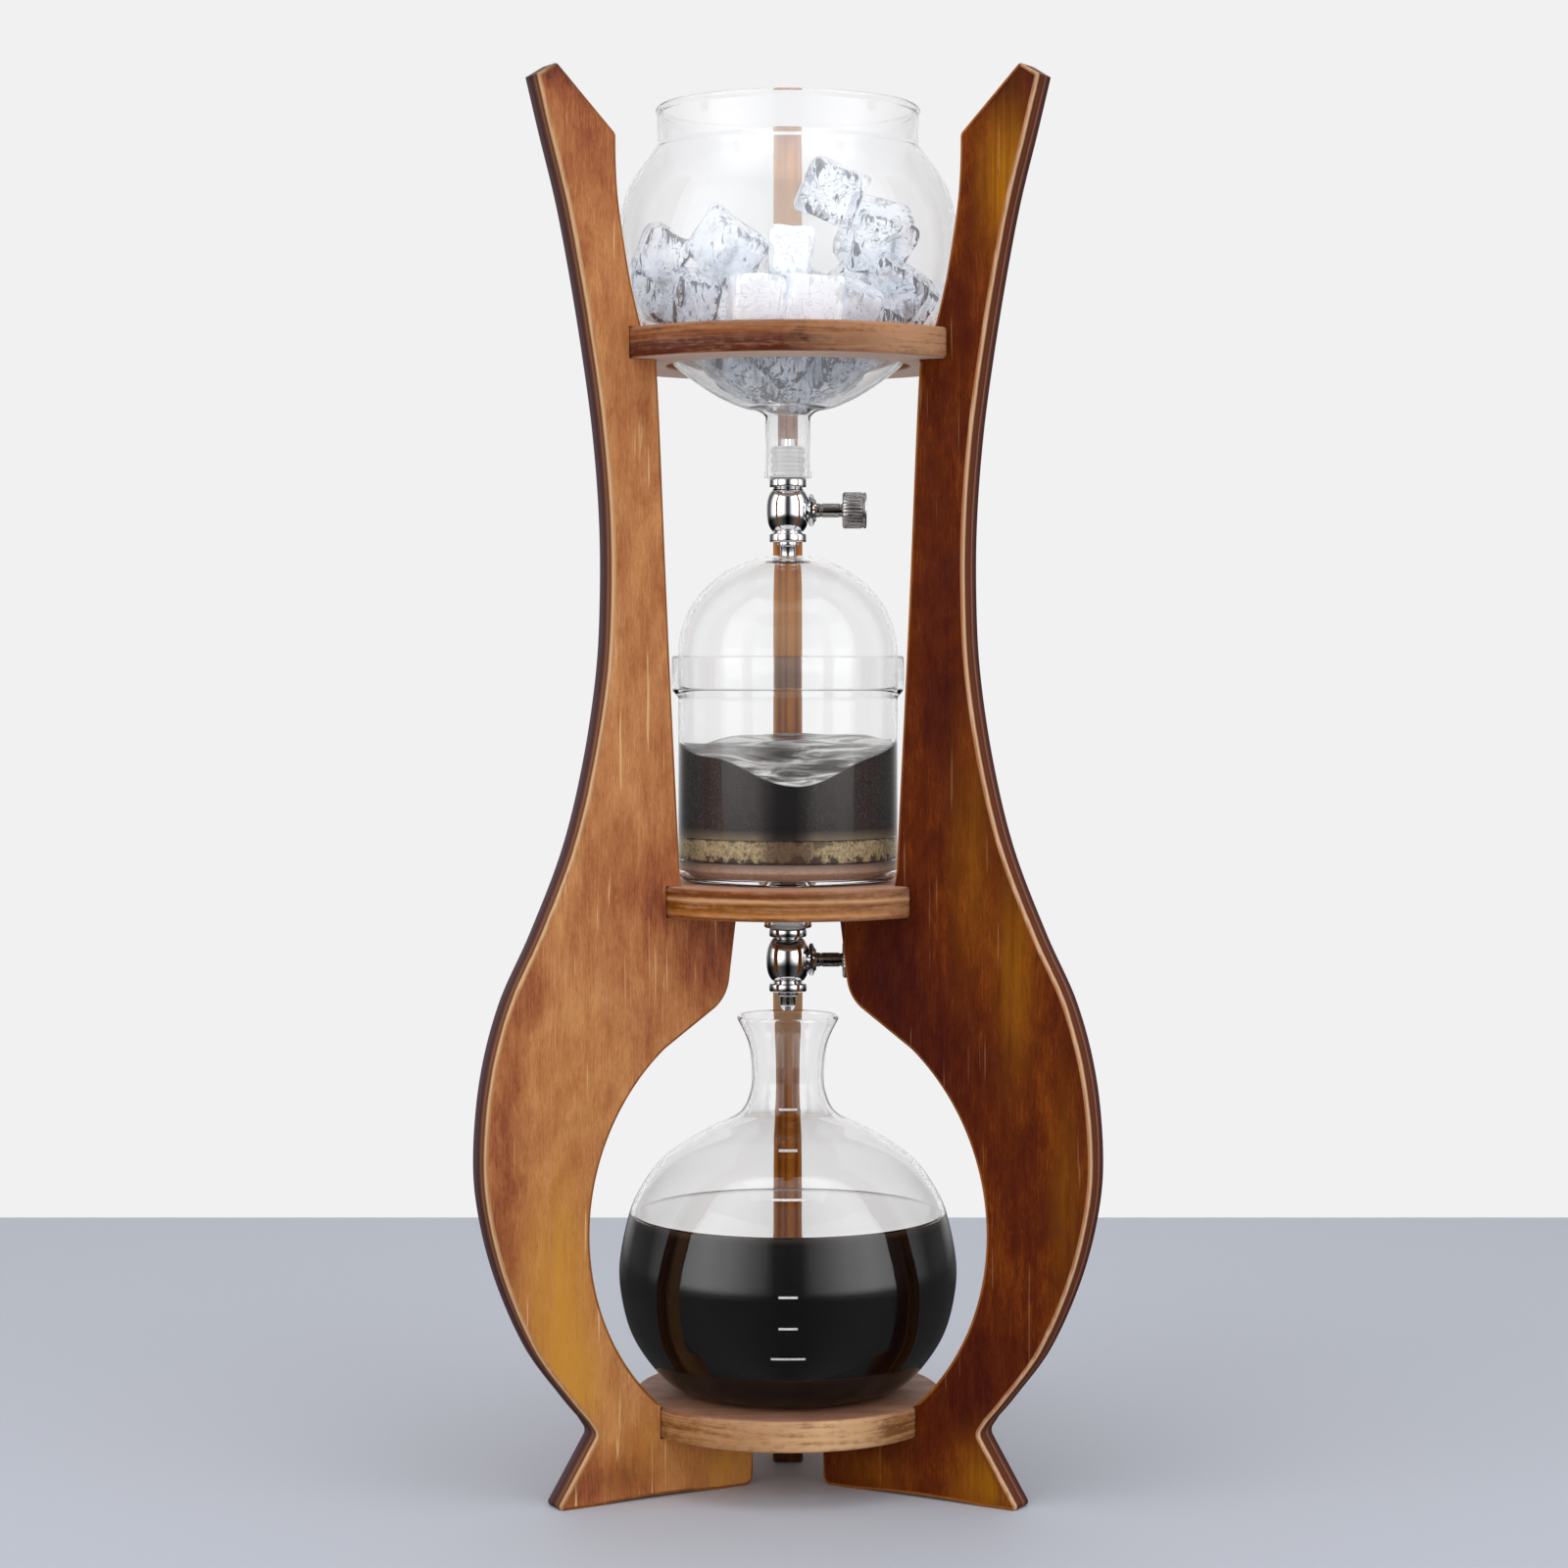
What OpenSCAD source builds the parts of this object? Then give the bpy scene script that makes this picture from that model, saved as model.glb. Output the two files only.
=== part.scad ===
// Cold drip coffee tower. Three plywood legs hold a ring and two shelves. On the tower's axis,
// from the top down: a glass globe with a needle valve, a dome, a coffee chamber with a
// ceramic filter and its own needle valve, and a flask.
// Origin: the tower's axis at table height. +Z is up, and the rear leg points along +Y.

/* [Plywood] */
// Thickness of every plywood panel
ply_t = 12; // [9:0.5:16]
// Glue line between a shelf and the notch that holds it
glue_gap = 0.1; // [0.05:0.05:0.3]
// Radius of the wooden dowels
dowel_r = 3; // [2:0.5:4]
// Length of the wooden dowels
dowel_l = 15; // [10:1:18]
// Rounding on the rims of the ring and the shelves
rim_round = 1.5; // [0.5:0.25:3]

/* [Legs] */
// Height of the bottom shelf's underside above the table
foot_h = 22.7; // [18:0.5:35]
// Height of the horns above the ring
horn_h = 99; // [80:1:120]
// Radius of the round bay that the legs leave for the flask
bay_r = 90.4; // [86:0.1:100]
// Width of each leg beside the flask's bay
belly_w = 44; // [36:0.1:50]
// Width of each leg at its waist
waist_w = 23.7; // [17:0.1:30]
// Width of each leg's horn
horn_w = 33.2; // [25:0.1:40]
// How far the foot's notch lies outside the bottom shelf's rim
notch_w = 27.9; // [20:0.1:34]
// How far the toes reach outside the foot's notch
toe_l = 16.2; // [8:0.1:24]
// Lift of the arch between heel and toe
arch_h = 1; // [0:0.25:3]
// Height of the bay's centre above the bottom shelf
bay_rise = 68.7; // [64:0.1:74]
// Gap between the globe and the narrowest place between the horns
horn_gap = 11.5; // [9:0.1:18]
// How far each waist stands outside the middle shelf's notch
waist_out = 6; // [3:0.5:9]

/* [Ring and shelves] */
// Width of the top ring, from its bore to its rim
ring_w = 25.6; // [22:0.1:34]
// How much of the ring's rim the legs cover above it
ring_bite = 5.3; // [2:0.1:8]
// Depth of the ledge that each leg has under the ring
ring_ledge = 11.9; // [8:0.1:16]
// Width of the middle shelf outside the coffee chamber
shelf_w = 14.2; // [13:0.1:24]
// Depth of the notch for the middle shelf
shelf_bite = 6.5; // [4:0.5:9]
// How far the legs reach in under the middle shelf
hip_reach = 31; // [24:0.1:32]
// Radius of the bottom shelf
base_r = 60.1; // [56:0.1:68]
// How far the heels reach in under the bottom shelf
heel_reach = 41.1; // [30:0.1:46]
// Width of the seat under the coffee chamber's wall
seat_w = 7.4; // [6.5:0.1:10]

/* [Flask] */
// Largest radius of the flask
flask_r = 66.6; // [60:0.1:70]
// Radius of the flask's flat base
flask_base_r = 36; // [30:0.5:40]
// Radius of the flask's neck
flask_neck_r = 14.3; // [12:0.1:18]
// Radius of the flask's lip
flask_lip_r = 20; // [18:0.5:24]
// Height of the flask's rounded body
flask_body_h = 107.5; // [95:0.5:120]
// Height of the flask's neck, from the body to the lip
flask_neck_h = 40; // [30:0.5:50]

/* [Coffee chamber and dome] */
// Outer radius of the coffee chamber
chamber_r = 43.4; // [40:0.1:48]
// Height of the chamber from its underside to the dome's seat
chamber_h = 75.8; // [60:0.5:95]
// Depth of the socket that holds the dome
socket_h = 13; // [9:0.5:18]
// How much wider than the chamber's inside its socket is
socket_step = 2.6; // [2.2:0.1:4]
// Length of the chamber's neck below its underside
chamber_neck_l = 18.7; // [17.5:0.1:26]
// Rounding of the chamber's bottom corner
chamber_round = 4.3; // [3:0.1:5.5]
// Height of the dome's straight wall
dome_wall_h = 13.7; // [10:0.1:20]
// Height of the dome's curve above its straight wall
dome_rise = 39.5; // [34:0.5:44]
// Radius of the hole at the top of the dome
dome_hole_r = 9.5; // [8.5:0.25:12]

/* [Globe] */
// Largest radius of the globe
globe_r = 67.8; // [62:0.1:72]
// Outer radius of the globe's mouth
mouth_r = 51.8; // [45:0.1:56]
// Height of the globe's bowl
bowl_h = 105; // [90:0.5:115]
// Height of the collar at the globe's mouth
collar_h = 15.3; // [10:0.1:22]
// How far the bowl hangs below the ring's top
globe_sink = 30; // [26:0.5:34]
// Length of the globe's neck below its bowl
globe_neck_l = 26.1; // [22:0.1:34]

/* [Glass] */
// Wall of every glass vessel
glass_t = 2; // [1.6:0.1:2.4]
// Outer radius of the glass necks that hold the stoppers
neck_r = 8.9; // [8:0.1:10]
// Extra radius of the lip at the end of a neck
lip_w = 0.6; // [0:0.1:1.2]
// Gap between a vessel and what it stands or hangs on
rest_gap = 0.2; // [0.1:0.05:0.3]
// Radial gap between the dome and its socket
socket_gap = 0.5; // [0.3:0.1:1]
// Gap between the globe and the seat turned in the ring
seat_gap = 0.4; // [0.3:0.05:0.6]

/* [Filter] */
// Thickness of the ceramic filter disc
filter_t = 9; // [6:0.5:12]
// Height of the gasket ring under the disc
gasket_h = 6.4; // [4:0.2:9]
// Width of the gasket ring
gasket_w = 7; // [4:0.5:10]
// Gap between the filter and the chamber's wall
filter_gap = 0.4; // [0.2:0.1:1]

/* [Needle valve] */
// Radius of the valve's ball
ball_r = 8.1; // [7.4:0.1:9]
// Radius of the collars above and below the ball
collar_r = 7.3; // [6.4:0.1:8]
// Height of the upper collar's face above the knob's axis
valve_top = 12.5; // [11.5:0.1:14]
// Depth of the lower collar's face below the knob's axis
valve_foot = 12.6; // [11.5:0.1:14]
// Height of each collar
collar_t = 3.4; // [2.6:0.1:3.6]
// Radius of the water channel through the valve
channel_r = 1.2; // [0.9:0.1:1.4]
// Radius of the tail pipe inside the stopper
tail_r = 2.6; // [2.2:0.1:3]
// Length of the tail pipe above the upper collar
tail_l = 16; // [13:0.5:18]
// Radius of the drip nozzle
nozzle_r = 3; // [2.4:0.1:3.4]
// Length of the drip nozzle below the lower collar
nozzle_l = 7.4; // [6:0.1:9]
// Distance from the valve's axis to the packing nut
nut_x = 8.2; // [8.1:0.1:9.5]
// Thickness of the packing nut
nut_t = 3; // [2.4:0.1:4]
// Radius of the packing nut over its corners
nut_r = 6.4; // [5.8:0.1:7]
// Radius of the spindle
spindle_r = 2.8; // [2.3:0.1:3.1]
// Radius of the needle at the spindle's end
needle_r = 1.15; // [0.8:0.05:1.35]
// Clearance around the moving spindle and needle
run_gap = 0.08; // [0.05:0.01:0.1]
// Distance from the valve's axis to the knob
knob_x = 21.6; // [20:0.1:23]
// Width of the knob
knob_w = 9.5; // [7:0.1:11]
// Radius of the knob
knob_r = 7.2; // [6:0.1:7.4]
// Number of flutes around the knob
flutes = 20; // [12:2:28]
// Radius of each flute
flute_r = 0.6; // [0.4:0.05:0.8]

/* [Stopper] */
// Length of the silicone stopper in a neck
stopper_l = 12.5; // [10:0.5:14]
// Depth of the grooves between the stopper's sealing ribs
stopper_groove = 0.7; // [0.3:0.1:1]

/* [Hidden] */

$fn = 96;

// Directions of the three legs around the axis
right_dir = -30;
left_dir = 210;
back_dir = 90;

// The gap that a falling drop crosses between a nozzle and the flask's lip
drop_gap = 1.8;
// How far the upper nozzle dips into the dome's hole
nozzle_dip = 2.8;
// A hair of clearance between glued, screwed or pressed pieces
touch = 0.05;
// Gap around the chamber as it passes up through the ring
pass_gap = 2;

// Heights, stacked up from the table
base_top = foot_h + ply_t;
flask_z = base_top + rest_gap;
lip_z = flask_z + flask_body_h + flask_neck_h;
valve_drop = valve_foot + nozzle_l;
lower_valve_z = lip_z + drop_gap + valve_drop;
chamber_lip_z = lower_valve_z + valve_top + rest_gap;
chamber_z = chamber_lip_z + chamber_neck_l;
mid_top = chamber_z - rest_gap;
mid_z = mid_top - ply_t;
socket_z = chamber_z + chamber_h;
dome_z = socket_z + rest_gap;
dome_top = dome_z + dome_wall_h + dome_rise;
upper_valve_z = dome_top - nozzle_dip + valve_drop;
globe_lip_z = upper_valve_z + valve_top + rest_gap;
globe_z = globe_lip_z + globe_neck_l;
ring_top = globe_z + globe_sink;
ring_z = ring_top - ply_t;
leg_top = ring_top + horn_h;

// Radii that follow from what must pass or fit
chamber_in = chamber_r - glass_t;
socket_in = chamber_in + socket_step;
socket_r = socket_in + glass_t;
dome_r = socket_in - socket_gap;
neck_in = neck_r - glass_t;
shelf_r = chamber_r + shelf_w;
shelf_hole_r = chamber_r - seat_w;
ring_bore_r = socket_r + pass_gap;
ring_r = ring_bore_r + ring_w;
bay_z = base_top + bay_rise;
belly_r = bay_r + belly_w;
horn_in = globe_r + horn_gap;
chest_in = shelf_r - shelf_bite;
waist_r = chest_in + waist_out + waist_w;
horn_r = horn_in + horn_w;
hip_r = shelf_r - hip_reach;
heel_r = base_r - heel_reach;
notch_r = base_r + notch_w;
toe_r = notch_r + toe_l;

// ---- curves ----

function mix(a, b, k) = a + (b - a) * k;
function unit(v) = v / norm(v);
function reversed(p) = [for (i = [len(p) - 1 : -1 : 0]) p[i]];
// Shape points given as shares of the way between two radii and between two heights
function placed(rows, r0, r1, z0, z1) = [for (p = rows) [mix(r0, r1, p[0]), mix(z0, z1, p[1])]];

// One cubic piece of a smooth line from b to c, with neighbours a and d
function bend(a, b, c, d, u) =
    0.5 * (2 * b + (c - a) * u + (2 * a - 5 * b + 4 * c - d) * u * u
           + (3 * b - a - 3 * c + d) * u * u * u);

// A smooth line through points, cut into n steps between each pair
function smooth(p, n) = [
    for (i = [0 : len(p) - 2], k = [0 : n - 1])
        bend(p[max(i - 1, 0)], p[i], p[i + 1], p[min(i + 2, len(p) - 1)], k / n),
    p[len(p) - 1]
];

// The corner at b between a and c, rounded to radius r with n steps
function corner(a, b, c, r, n = 6) =
    let (
        u = unit(a - b),
        v = unit(c - b),
        half = acos(u * v) / 2,
        m = b + unit(u + v) * r / sin(half),
        s = b + u * r / tan(half) - m,
        e = b + v * r / tan(half) - m,
        from = atan2(s.y, s.x),
        turn = atan2(cross(s, e), s * e)
    )
    [for (k = [0 : n]) m + r * [cos(from + turn * k / n), sin(from + turn * k / n)]];

// A line moved sideways: outwards when it runs upwards and d is positive
function shifted(p, d) = [
    for (i = [0 : len(p) - 1])
        let (t = unit(p[min(i + 1, len(p) - 1)] - p[max(i - 1, 0)]))
        [max(p[i].x + t.y * d, 0), p[i].y - t.x * d]
];

// Half round edge of a wall, from radius r0 over to r1, with its crown at height z
function wall_rim(r0, r1, z) =
    let (m = (r0 + r1) / 2, w = (r0 - r1) / 2, up = sign(w))
    [for (a = [0 : 30 : 180]) [m + w * cos(a), z + (sin(a) - 1) * abs(w) * up]];

module lathe(points) {
    rotate_extrude()
        polygon(points);
}

// ---- legs ----

// Outer edge, from the foot's notch up to the horn's outer corner
leg_outer = smooth(concat(
    placed([[0.055, 0.05], [0.21, 0.092], [0.53, 0.19], [0.795, 0.32], [0.95, 0.445], [1, 0.56]],
           notch_r, belly_r, foot_h, mid_z),
    placed([[0.053, 0.71], [0.2, 0.848], [0.443, 0.978]], belly_r, waist_r, foot_h, mid_z),
    placed([[0.698, 0.076], [0.865, 0.24], [0.97, 0.41], [1, 0.56]],
           belly_r, waist_r, mid_top, ring_z),
    placed([[0.015, 0.705], [0.1, 0.857], [0.235, 1]], waist_r, horn_r, mid_top, ring_z),
    placed([[0.41, 0.19], [0.6, 0.475], [0.825, 0.737], [1, 0.949]],
           waist_r, horn_r, ring_top, leg_top)
), 5);

// Inner edge beside the globe, from the horn down to the ring
leg_horn_in = smooth(placed(
    [[1, 0.735], [0.99, 0.646], [0.92, 0.515], [0.73, 0.369], [0.42, 0.182], [0, 0.001]],
    ring_r - ring_bite, horn_in, ring_top, leg_top), 4);

// Inner edge beside the chamber and the dome, from the ring down to the middle shelf
leg_chest_in = smooth(placed([[1, 1], [0.85, 0.86], [0.5, 0.475], [0, 0]],
    chest_in, ring_r - ring_ledge, mid_top + glue_gap, ring_z - glue_gap), 4);

// Round bay for the flask, from the hip down to the bottom shelf
bay_low = -asin((bay_z - base_top - glue_gap) / bay_r);
bay_high = 50;
leg_bay = [for (k = [0 : 24])
    let (a = mix(bay_high, bay_low, k / 24)) [bay_r * cos(a), bay_z + bay_r * sin(a)]];
// Where the hip's leaning inner edge would meet the bay, and the rounding of that corner
hip_lean = 3.7;
hip_drop = 32.3;
hip_round = 16;
hip_tip = [hip_r + hip_lean, mid_z - hip_drop];

// The horn's tip: its outer edge ends lower than its crown and its inner edge lowest
crown_drop = 5;
crown_in = 8;
lip_drop = 25;
horn_out = [horn_r, leg_top - crown_drop];
horn_crown = [horn_r - crown_in, leg_top];
horn_lip = [horn_in + 0.3, leg_top - lip_drop];

// The foot's slanted outer edge
ankle = [notch_r - 1.2, 1.2 * foot_h];

heel_round = 3.5;

// Arch under the foot, from the heel to the toe
leg_arch = placed([[0.18, 0], [0.33, 0.75], [0.5, 1], [0.67, 0.75], [0.82, 0]],
    heel_r, toe_r, 0, arch_h);

leg_outline = concat(
    leg_outer,
    corner(horn_out, horn_crown, horn_lip, 1.5),
    corner(horn_crown, horn_lip, leg_horn_in[0], 3),
    leg_horn_in,
    [[ring_r + glue_gap, ring_top + glue_gap], [ring_r + glue_gap, ring_z - glue_gap]],
    leg_chest_in,
    [[shelf_r + glue_gap, mid_top + glue_gap], [shelf_r + glue_gap, mid_z - glue_gap],
     [hip_r, mid_z - glue_gap]],
    corner([hip_r, mid_z], hip_tip, leg_bay[0], hip_round),
    leg_bay,
    [[base_r + glue_gap, base_top + glue_gap], [base_r + glue_gap, foot_h - glue_gap],
     [heel_r, foot_h - glue_gap]],
    corner([heel_r, foot_h], [heel_r, 0], [toe_r, 0], heel_round),
    leg_arch,
    corner([heel_r, 0], [toe_r, 0], ankle, 1.5),
    corner([toe_r, 0], ankle, leg_outer[0], 3)
);

// Turns a flat drawing in radius and height into a board that stands along direction dir
module standing_board(dir) {
    rotate([0, 0, dir])
        rotate([90, 0, 0])
            linear_extrude(ply_t, center = true)
                children();
}

// A dowel at the rim of a disc of radius r, on the leg's direction
module dowel(dir, r, z, gap) {
    rotate([0, 0, dir])
        translate([r + glue_gap / 2, 0, z + ply_t / 2])
            rotate([0, 90, 0])
                cylinder(r = dowel_r + gap, h = dowel_l + 4 * gap, center = true);
}

module leg(dir) {
    difference() {
        standing_board(dir)
            polygon(leg_outline);
        dowel(dir, ring_r, ring_z, touch);
        dowel(dir, shelf_r, mid_z, touch);
        dowel(dir, base_r, foot_h, touch);
    }
}

module leg_left() {
    color("peru")
        leg(left_dir);
}

module leg_right() {
    color("sienna")
        leg(right_dir);
}

module leg_back() {
    color("peru")
        leg(back_dir);
}

// ---- ring and shelves ----

// A round plywood disc with softened edges
module disc(r, z) {
    lathe(concat(
        [[0, z]],
        corner([0, z], [r, z], [r, z + ply_t], rim_round),
        corner([r, z], [r, z + ply_t], [0, z + ply_t], rim_round),
        [[0, z + ply_t]]
    ));
}

module dowel_holes(r, z) {
    for (dir = [left_dir, right_dir, back_dir])
        dowel(dir, r, z, touch);
}

module dowels(r, z) {
    for (dir = [left_dir, right_dir, back_dir])
        dowel(dir, r, z, 0);
}

module top_ring() {
    color("saddlebrown")
        difference() {
            disc(ring_r, ring_z);
            translate([0, 0, ring_z - 1])
                cylinder(r = ring_bore_r, h = ply_t + 2);
            // the seat follows the globe's own curve
            lathe(concat([[0, globe_z - 2]], shifted(globe_bowl, seat_gap),
                         [[0, globe_z + bowl_h]]));
            dowel_holes(ring_r, ring_z);
        }
}

module middle_shelf() {
    color("burlywood")
        difference() {
            disc(shelf_r, mid_z);
            translate([0, 0, mid_z - 1])
                cylinder(r = shelf_hole_r, h = ply_t + 2);
            dowel_holes(shelf_r, mid_z);
        }
}

module bottom_shelf() {
    color("burlywood")
        difference() {
            disc(base_r, foot_h);
            dowel_holes(base_r, foot_h);
        }
}

module ring_dowels() {
    color("wheat")
        dowels(ring_r, ring_z);
}

module middle_dowels() {
    color("wheat")
        dowels(shelf_r, mid_z);
}

module bottom_dowels() {
    color("wheat")
        dowels(base_r, foot_h);
}

// ---- glass ----

// Outside of the globe's bowl, from the neck's fillet up to the collar
globe_bowl = smooth(concat(
    placed([[0, -0.02], [0.02, -0.006], [0.06, 0.006], [0.16, 0.018], [0.36, 0.071],
            [0.605, 0.171], [0.775, 0.276], [0.885, 0.36], [0.978, 0.49], [1, 0.638]],
           neck_r, globe_r, globe_z, globe_z + bowl_h),
    placed([[0.83, 0.79], [0.54, 0.886], [0, 1]], mouth_r, globe_r, globe_z, globe_z + bowl_h)
), 5);

// Outside of a neck's lower end: a rounded lip, then the tube
function neck_end(z) = concat(
    corner([neck_in, z], [neck_r + lip_w, z], [neck_r + lip_w, z + 3], 0.7, 4),
    [[neck_r + lip_w, z + 2.2], [neck_r, z + 3.2]]
);

globe_inner = shifted(globe_bowl, -glass_t);
bead_r = 1.6;
globe_rim_z = globe_z + bowl_h + collar_h;

module globe() {
    color("lightcyan", 0.4)
        union() {
            lathe(concat(
                [[neck_in, globe_lip_z]],
                neck_end(globe_lip_z),
                globe_bowl,
                wall_rim(mouth_r, mouth_r - glass_t, globe_rim_z),
                reversed(globe_inner)
            ));
            // thick bead around the mouth
            translate([0, 0, globe_rim_z - bead_r])
                rotate_extrude()
                    translate([mouth_r - glass_t / 2, 0])
                        circle(r = bead_r, $fn = 24);
        }
}

dome_mid = dome_z + dome_wall_h;
dome_hole_a = acos(dome_hole_r / dome_r);

// A quarter ellipse from the dome's wall up to its hole
function dome_arc(r, rise) = [
    for (k = [0 : 20]) let (a = dome_hole_a * k / 20) [r * cos(a), dome_mid + rise * sin(a)]];

module dome_cover() {
    dome_in = shifted(dome_arc(dome_r, dome_rise), -glass_t);
    color("lightcyan", 0.4)
        lathe(concat(
            wall_rim(dome_r - glass_t, dome_r, dome_z),
            dome_arc(dome_r, dome_rise),
            reversed(dome_in)
        ));
}

chamber_in_z = chamber_z + glass_t;
rim_z = socket_z + socket_h;
neck_fillet = 2;
// The chamber's wall steps out to its socket between these two points
step_low = [chamber_r, socket_z - 3.4];
step_high = [socket_r, socket_z - 0.4];

module coffee_chamber() {
    color("lightcyan", 0.4)
        lathe(concat(
            [[neck_in, chamber_lip_z]],
            neck_end(chamber_lip_z),
            corner([neck_r, chamber_lip_z], [neck_r, chamber_z], [chamber_r, chamber_z],
                   neck_fillet),
            corner([neck_r, chamber_z], [chamber_r, chamber_z], [chamber_r, socket_z],
                   chamber_round),
            corner([chamber_r, chamber_z], step_low, step_high, 1.5, 4),
            corner(step_low, step_high, [socket_r, rim_z], 1.5, 4),
            wall_rim(socket_r, socket_in, rim_z),
            [[socket_in, socket_z], [chamber_in, socket_z]],
            corner([chamber_in, socket_z], [chamber_in, chamber_in_z],
                   [neck_in, chamber_in_z], chamber_round - glass_t),
            corner([chamber_in, chamber_in_z], [neck_in, chamber_in_z],
                   [neck_in, chamber_lip_z], neck_fillet + glass_t)
        ));
}

// The flask stands on a flat foot around its slightly raised base
base_lift = 1.2;
foot_in = flask_base_r - 6;
base_in = foot_in - 6;

// Outside of the flask, from the middle of its raised base up to the lip
flask_side = concat(
    [[0, flask_z + base_lift], [base_in, flask_z + base_lift], [foot_in, flask_z]],
    smooth(concat(
        placed([[0, 0], [0.35, 0.03], [0.64, 0.115], [0.86, 0.22], [0.975, 0.345], [1, 0.46]],
               flask_base_r, flask_r, flask_z, flask_z + flask_body_h),
        placed([[0.95, 0.6], [0.87, 0.71], [0.675, 0.842], [0.36, 0.944], [0.1, 1.01]],
               flask_neck_r, flask_r, flask_z, flask_z + flask_body_h),
        placed([[0.08, 0.26], [0, 0.5], [0.25, 0.76], [1, 1]],
               flask_neck_r, flask_lip_r, flask_z + flask_body_h, lip_z - 1.4)
    ), 5)
);

module flask() {
    inside = reversed(shifted(flask_side, -glass_t));
    color("lightcyan", 0.4)
        lathe(concat(
            flask_side,
            wall_rim(flask_lip_r, flask_lip_r - glass_t, lip_z),
            [for (i = [2 : len(inside) - 1]) inside[i]]
        ));
}

// ---- filter ----

gasket_z = chamber_in_z + rest_gap;
filter_z = gasket_z + gasket_h + rest_gap;
filter_r = chamber_in - filter_gap;

module ceramic_filter() {
    color("tan")
        lathe(concat(
            [[0, filter_z]],
            corner([0, filter_z], [filter_r, filter_z], [filter_r, filter_z + filter_t], 1),
            corner([filter_r, filter_z], [filter_r, filter_z + filter_t],
                   [0, filter_z + filter_t], 1),
            [[0, filter_z + filter_t]]
        ));
}

// The ring's outer corner is cut back to clear the chamber's rounded corner
module filter_gasket() {
    color("dimgray")
        lathe([
            [filter_r - gasket_w, gasket_z],
            [chamber_r - chamber_round - 0.5, gasket_z],
            [filter_r, gasket_z + chamber_round - glass_t + 0.5],
            [filter_r, gasket_z + gasket_h],
            [filter_r - gasket_w, gasket_z + gasket_h]
        ]);
}

// ---- stoppers ----

stopper_r = neck_in - touch;

// A ribbed plug at the lower end of a neck, around the valve's tail pipe
module stopper(lip) {
    groove_w = stopper_l / 7;
    translate([0, 0, lip])
        difference() {
            cylinder(r = stopper_r, h = stopper_l);
            for (k = [0 : 2])
                translate([0, 0, groove_w * (2 * k + 1)])
                    difference() {
                        cylinder(r = stopper_r + 1, h = groove_w);
                        cylinder(r = stopper_r - stopper_groove, h = groove_w);
                    }
            translate([0, 0, -1])
                cylinder(r = tail_r + touch, h = stopper_l + 2);
        }
}

// ---- needle valve, drawn around the knob's axis at height 0 ----

boss_r = 4.4;
packing_l = 2;
packing_r = spindle_r + 0.9;
// The spindle runs in a bore that is wider than the needle's bore
spindle_bore_x = 3.4;
packing_x = nut_x - packing_l;
// The nozzle's tail sits in the lower collar, and its flange rests under it
nozzle_seat = 2.2;
nozzle_tail_r = nozzle_r - 0.6;
nozzle_flange_t = 1.6;
nozzle_tip_l = 2;
// The needle's pointed end
needle_tip_l = 1.6;
knob_bore_l = 6;
knob_bevel = 0.6;

module valve_body() {
    stem_r = 5.2;
    upper = valve_top - collar_t;
    lower = -valve_foot + collar_t;
    difference() {
        union() {
            cylinder(r = tail_r, h = valve_top + tail_l);
            translate([0, 0, upper])
                cylinder(r = collar_r, h = collar_t);
            translate([0, 0, -valve_foot])
                cylinder(r = collar_r, h = collar_t);
            translate([0, 0, lower - 1])
                cylinder(r = stem_r, h = upper - lower + 2);
            sphere(r = ball_r);
            rotate([0, 90, 0])
                cylinder(r = boss_r, h = nut_x - touch);
        }
        // water channel
        translate([0, 0, -valve_foot - 1])
            cylinder(r = channel_r, h = valve_top + valve_foot + tail_l + 2);
        // socket for the nozzle
        translate([0, 0, -valve_foot - 1])
            cylinder(r = nozzle_tail_r + touch, h = nozzle_seat + 1 + touch);
        // bores for the needle, the spindle and the packing
        rotate([0, 90, 0]) {
            cylinder(r = needle_r + run_gap, h = nut_x);
            translate([0, 0, spindle_bore_x])
                cylinder(r = spindle_r + run_gap, h = nut_x);
            translate([0, 0, packing_x])
                cylinder(r = packing_r, h = nut_x);
        }
    }
}

module packing_nut() {
    translate([nut_x, 0, 0])
        rotate([0, 90, 0])
            difference() {
                union() {
                    cylinder(r = nut_r, h = nut_t - 0.8, $fn = 6);
                    cylinder(r = nut_r - 1.4, h = nut_t);
                }
                translate([0, 0, -1])
                    cylinder(r = spindle_r + run_gap, h = nut_t + 2);
            }
}

module packing_ring() {
    translate([packing_x + touch, 0, 0])
        rotate([0, 90, 0])
            difference() {
                cylinder(r = packing_r - touch, h = packing_l - 2 * touch);
                translate([0, 0, -1])
                    cylinder(r = spindle_r + run_gap, h = packing_l + 2);
            }
}

module nozzle() {
    tip_z = -valve_foot - nozzle_l;
    difference() {
        union() {
            translate([0, 0, -valve_foot - nozzle_flange_t])
                cylinder(r = nozzle_r + 1, h = nozzle_flange_t - touch);
            translate([0, 0, tip_z + nozzle_tip_l])
                cylinder(r = nozzle_r, h = nozzle_l - nozzle_tip_l - touch);
            translate([0, 0, tip_z])
                cylinder(r1 = nozzle_r - 1, r2 = nozzle_r, h = nozzle_tip_l);
            translate([0, 0, -valve_foot - 1])
                cylinder(r = nozzle_tail_r, h = nozzle_seat + 1 - touch);
        }
        translate([0, 0, tip_z - 1])
            cylinder(r = channel_r, h = nozzle_l + nozzle_seat + 2);
    }
}

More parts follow.
